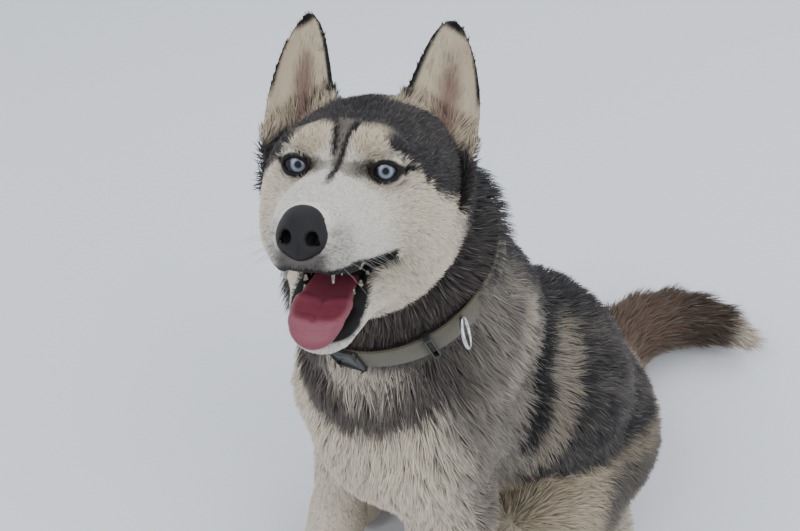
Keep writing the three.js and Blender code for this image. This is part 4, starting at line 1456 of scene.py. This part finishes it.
# Claws: a blunt cone of dark horn at the end of each toe, pointing forward and down, all joined.
claw_finish, tree, shader = finish_of("horn", Base_Color=(0.05, 0.04, 0.035, 1), Roughness=0.4)
CLAW_FORWARD = 20
CLAW_DROP = 5
claw_way = Vector((0, -1, -0.45)).normalized().to_track_quat("Z", "Y").to_matrix().to_4x4()
claws = []
for side in BOTH:
    for x, y, z in toe_places(side, FOREPAW) + toe_places(side, HINDPAW):
        bpy.ops.mesh.primitive_cone_add(vertices=12, radius1=0.0042, radius2=0.0012, depth=0.016)
        claw = bpy.context.object
        spot = Vector(placed((x, y - CLAW_FORWARD, z - CLAW_DROP)))
        claw.data.transform(Matrix.Translation(spot) @ claw_way)
        bpy.ops.object.shade_smooth()
        claws.append(claw)
        claw.select_set(False)
claw_set = joined(claws, "claws")
claw_set.data.materials.append(claw_finish)
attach(claw_set, "root")
claw_set.select_set(False)

# Whiskers: stiff, pale hairs in three rows on each upper lip, far longer than the coat round them.
# Each is a thin three-sided tube that tapers and sags towards its tip.
whisker_finish, tree, shader = finish_of("whisker", Base_Color=(0.5, 0.48, 0.45, 1), Roughness=0.4)
starts = []
ways = []
for side in BOTH:
    for row in range(3):
        for i in range(4):
            f = 132 - i * 8 - row * 2
            up = -38 - row * 5
            starts.append((side * (15 + i * 1.9), f, up))
            ways.append((side * (0.8 + 0.1 * i), 0.15 - 0.16 * i, -0.35 + 0.1 * (2 - row)))
starts = np.array(starts, float)
ways = unit(np.array(ways) + chance.normal(0, 0.12, (len(ways), 3)))
WHISKER_RADIUS = 0.15
WHISKER_SAG = np.array([0, -5.0, -7.0])
for _ in range(6):
    starts = starts - ways * np.clip(skull(starts) + 1.5, -2, 4)[:, None]
long = chance.uniform(18, 34, len(starts))[:, None]
rows = []
for t in (0, 0.35, 0.7, 1):
    centre = starts + ways * long * t + WHISKER_SAG * t * t
    thick = WHISKER_RADIUS * (1 - 0.8 * t)
    for k in range(3):
        a = 2 * math.pi * k / 3
        rows.append(centre + np.array([0, math.cos(a), math.sin(a)]) * thick)
vertices = np.stack(rows, 1).reshape(-1, 3)
pattern = []
for ring_start in (0, 3, 6):
    for k in range(3):
        a, b = ring_start + k, ring_start + (k + 1) % 3
        pattern += [(a, b, b + 3), (a, b + 3, a + 3)]
pattern += [(0, 2, 1), (9, 10, 11)]
faces = np.arange(len(starts))[:, None, None] * len(rows) + np.array(pattern)[None]
faces = faces.reshape(-1, 3)
whiskers = mesh_object("whiskers", from_head(vertices), faces)
whiskers.data.materials.append(whisker_finish)
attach(whiskers, "root")

# Stage: a plain pale floor under soft, even light, from a pale sky and three broad lamps.
bpy.ops.mesh.primitive_plane_add(size=14, location=(0, 0, 0))
floor = bpy.context.object
floor.name = "floor"
floor_finish, tree, shader = finish_of("floor", Base_Color=(0.72, 0.74, 0.78, 1), Roughness=0.9)
floor.data.materials.append(floor_finish)
world = bpy.data.worlds.new("studio")
bpy.context.scene.world = world
world.use_nodes = True
sky = world.node_tree.nodes["Background"]
sky.inputs["Color"].default_value = (0.86, 0.92, 1.0, 1)
sky.inputs["Strength"].default_value = 0.95
for spot, aim, size, power in (
    ((-0.5, -2.3, 3.0), (0, -0.1, 0.4), 2.2, 62),
    ((2.4, 0.2, 2.4), (0, 0, 0.4), 2.4, 42),
    ((0.2, 2.4, 2.6), (0, 0.2, 0.3), 2.4, 34),
):
    bpy.ops.object.light_add(type="AREA", location=spot)
    lamp = bpy.context.object
    lamp.data.size = size
    lamp.data.energy = power
    lamp.rotation_euler = (Vector(aim) - Vector(spot)).to_track_quat("-Z", "Y").to_euler()
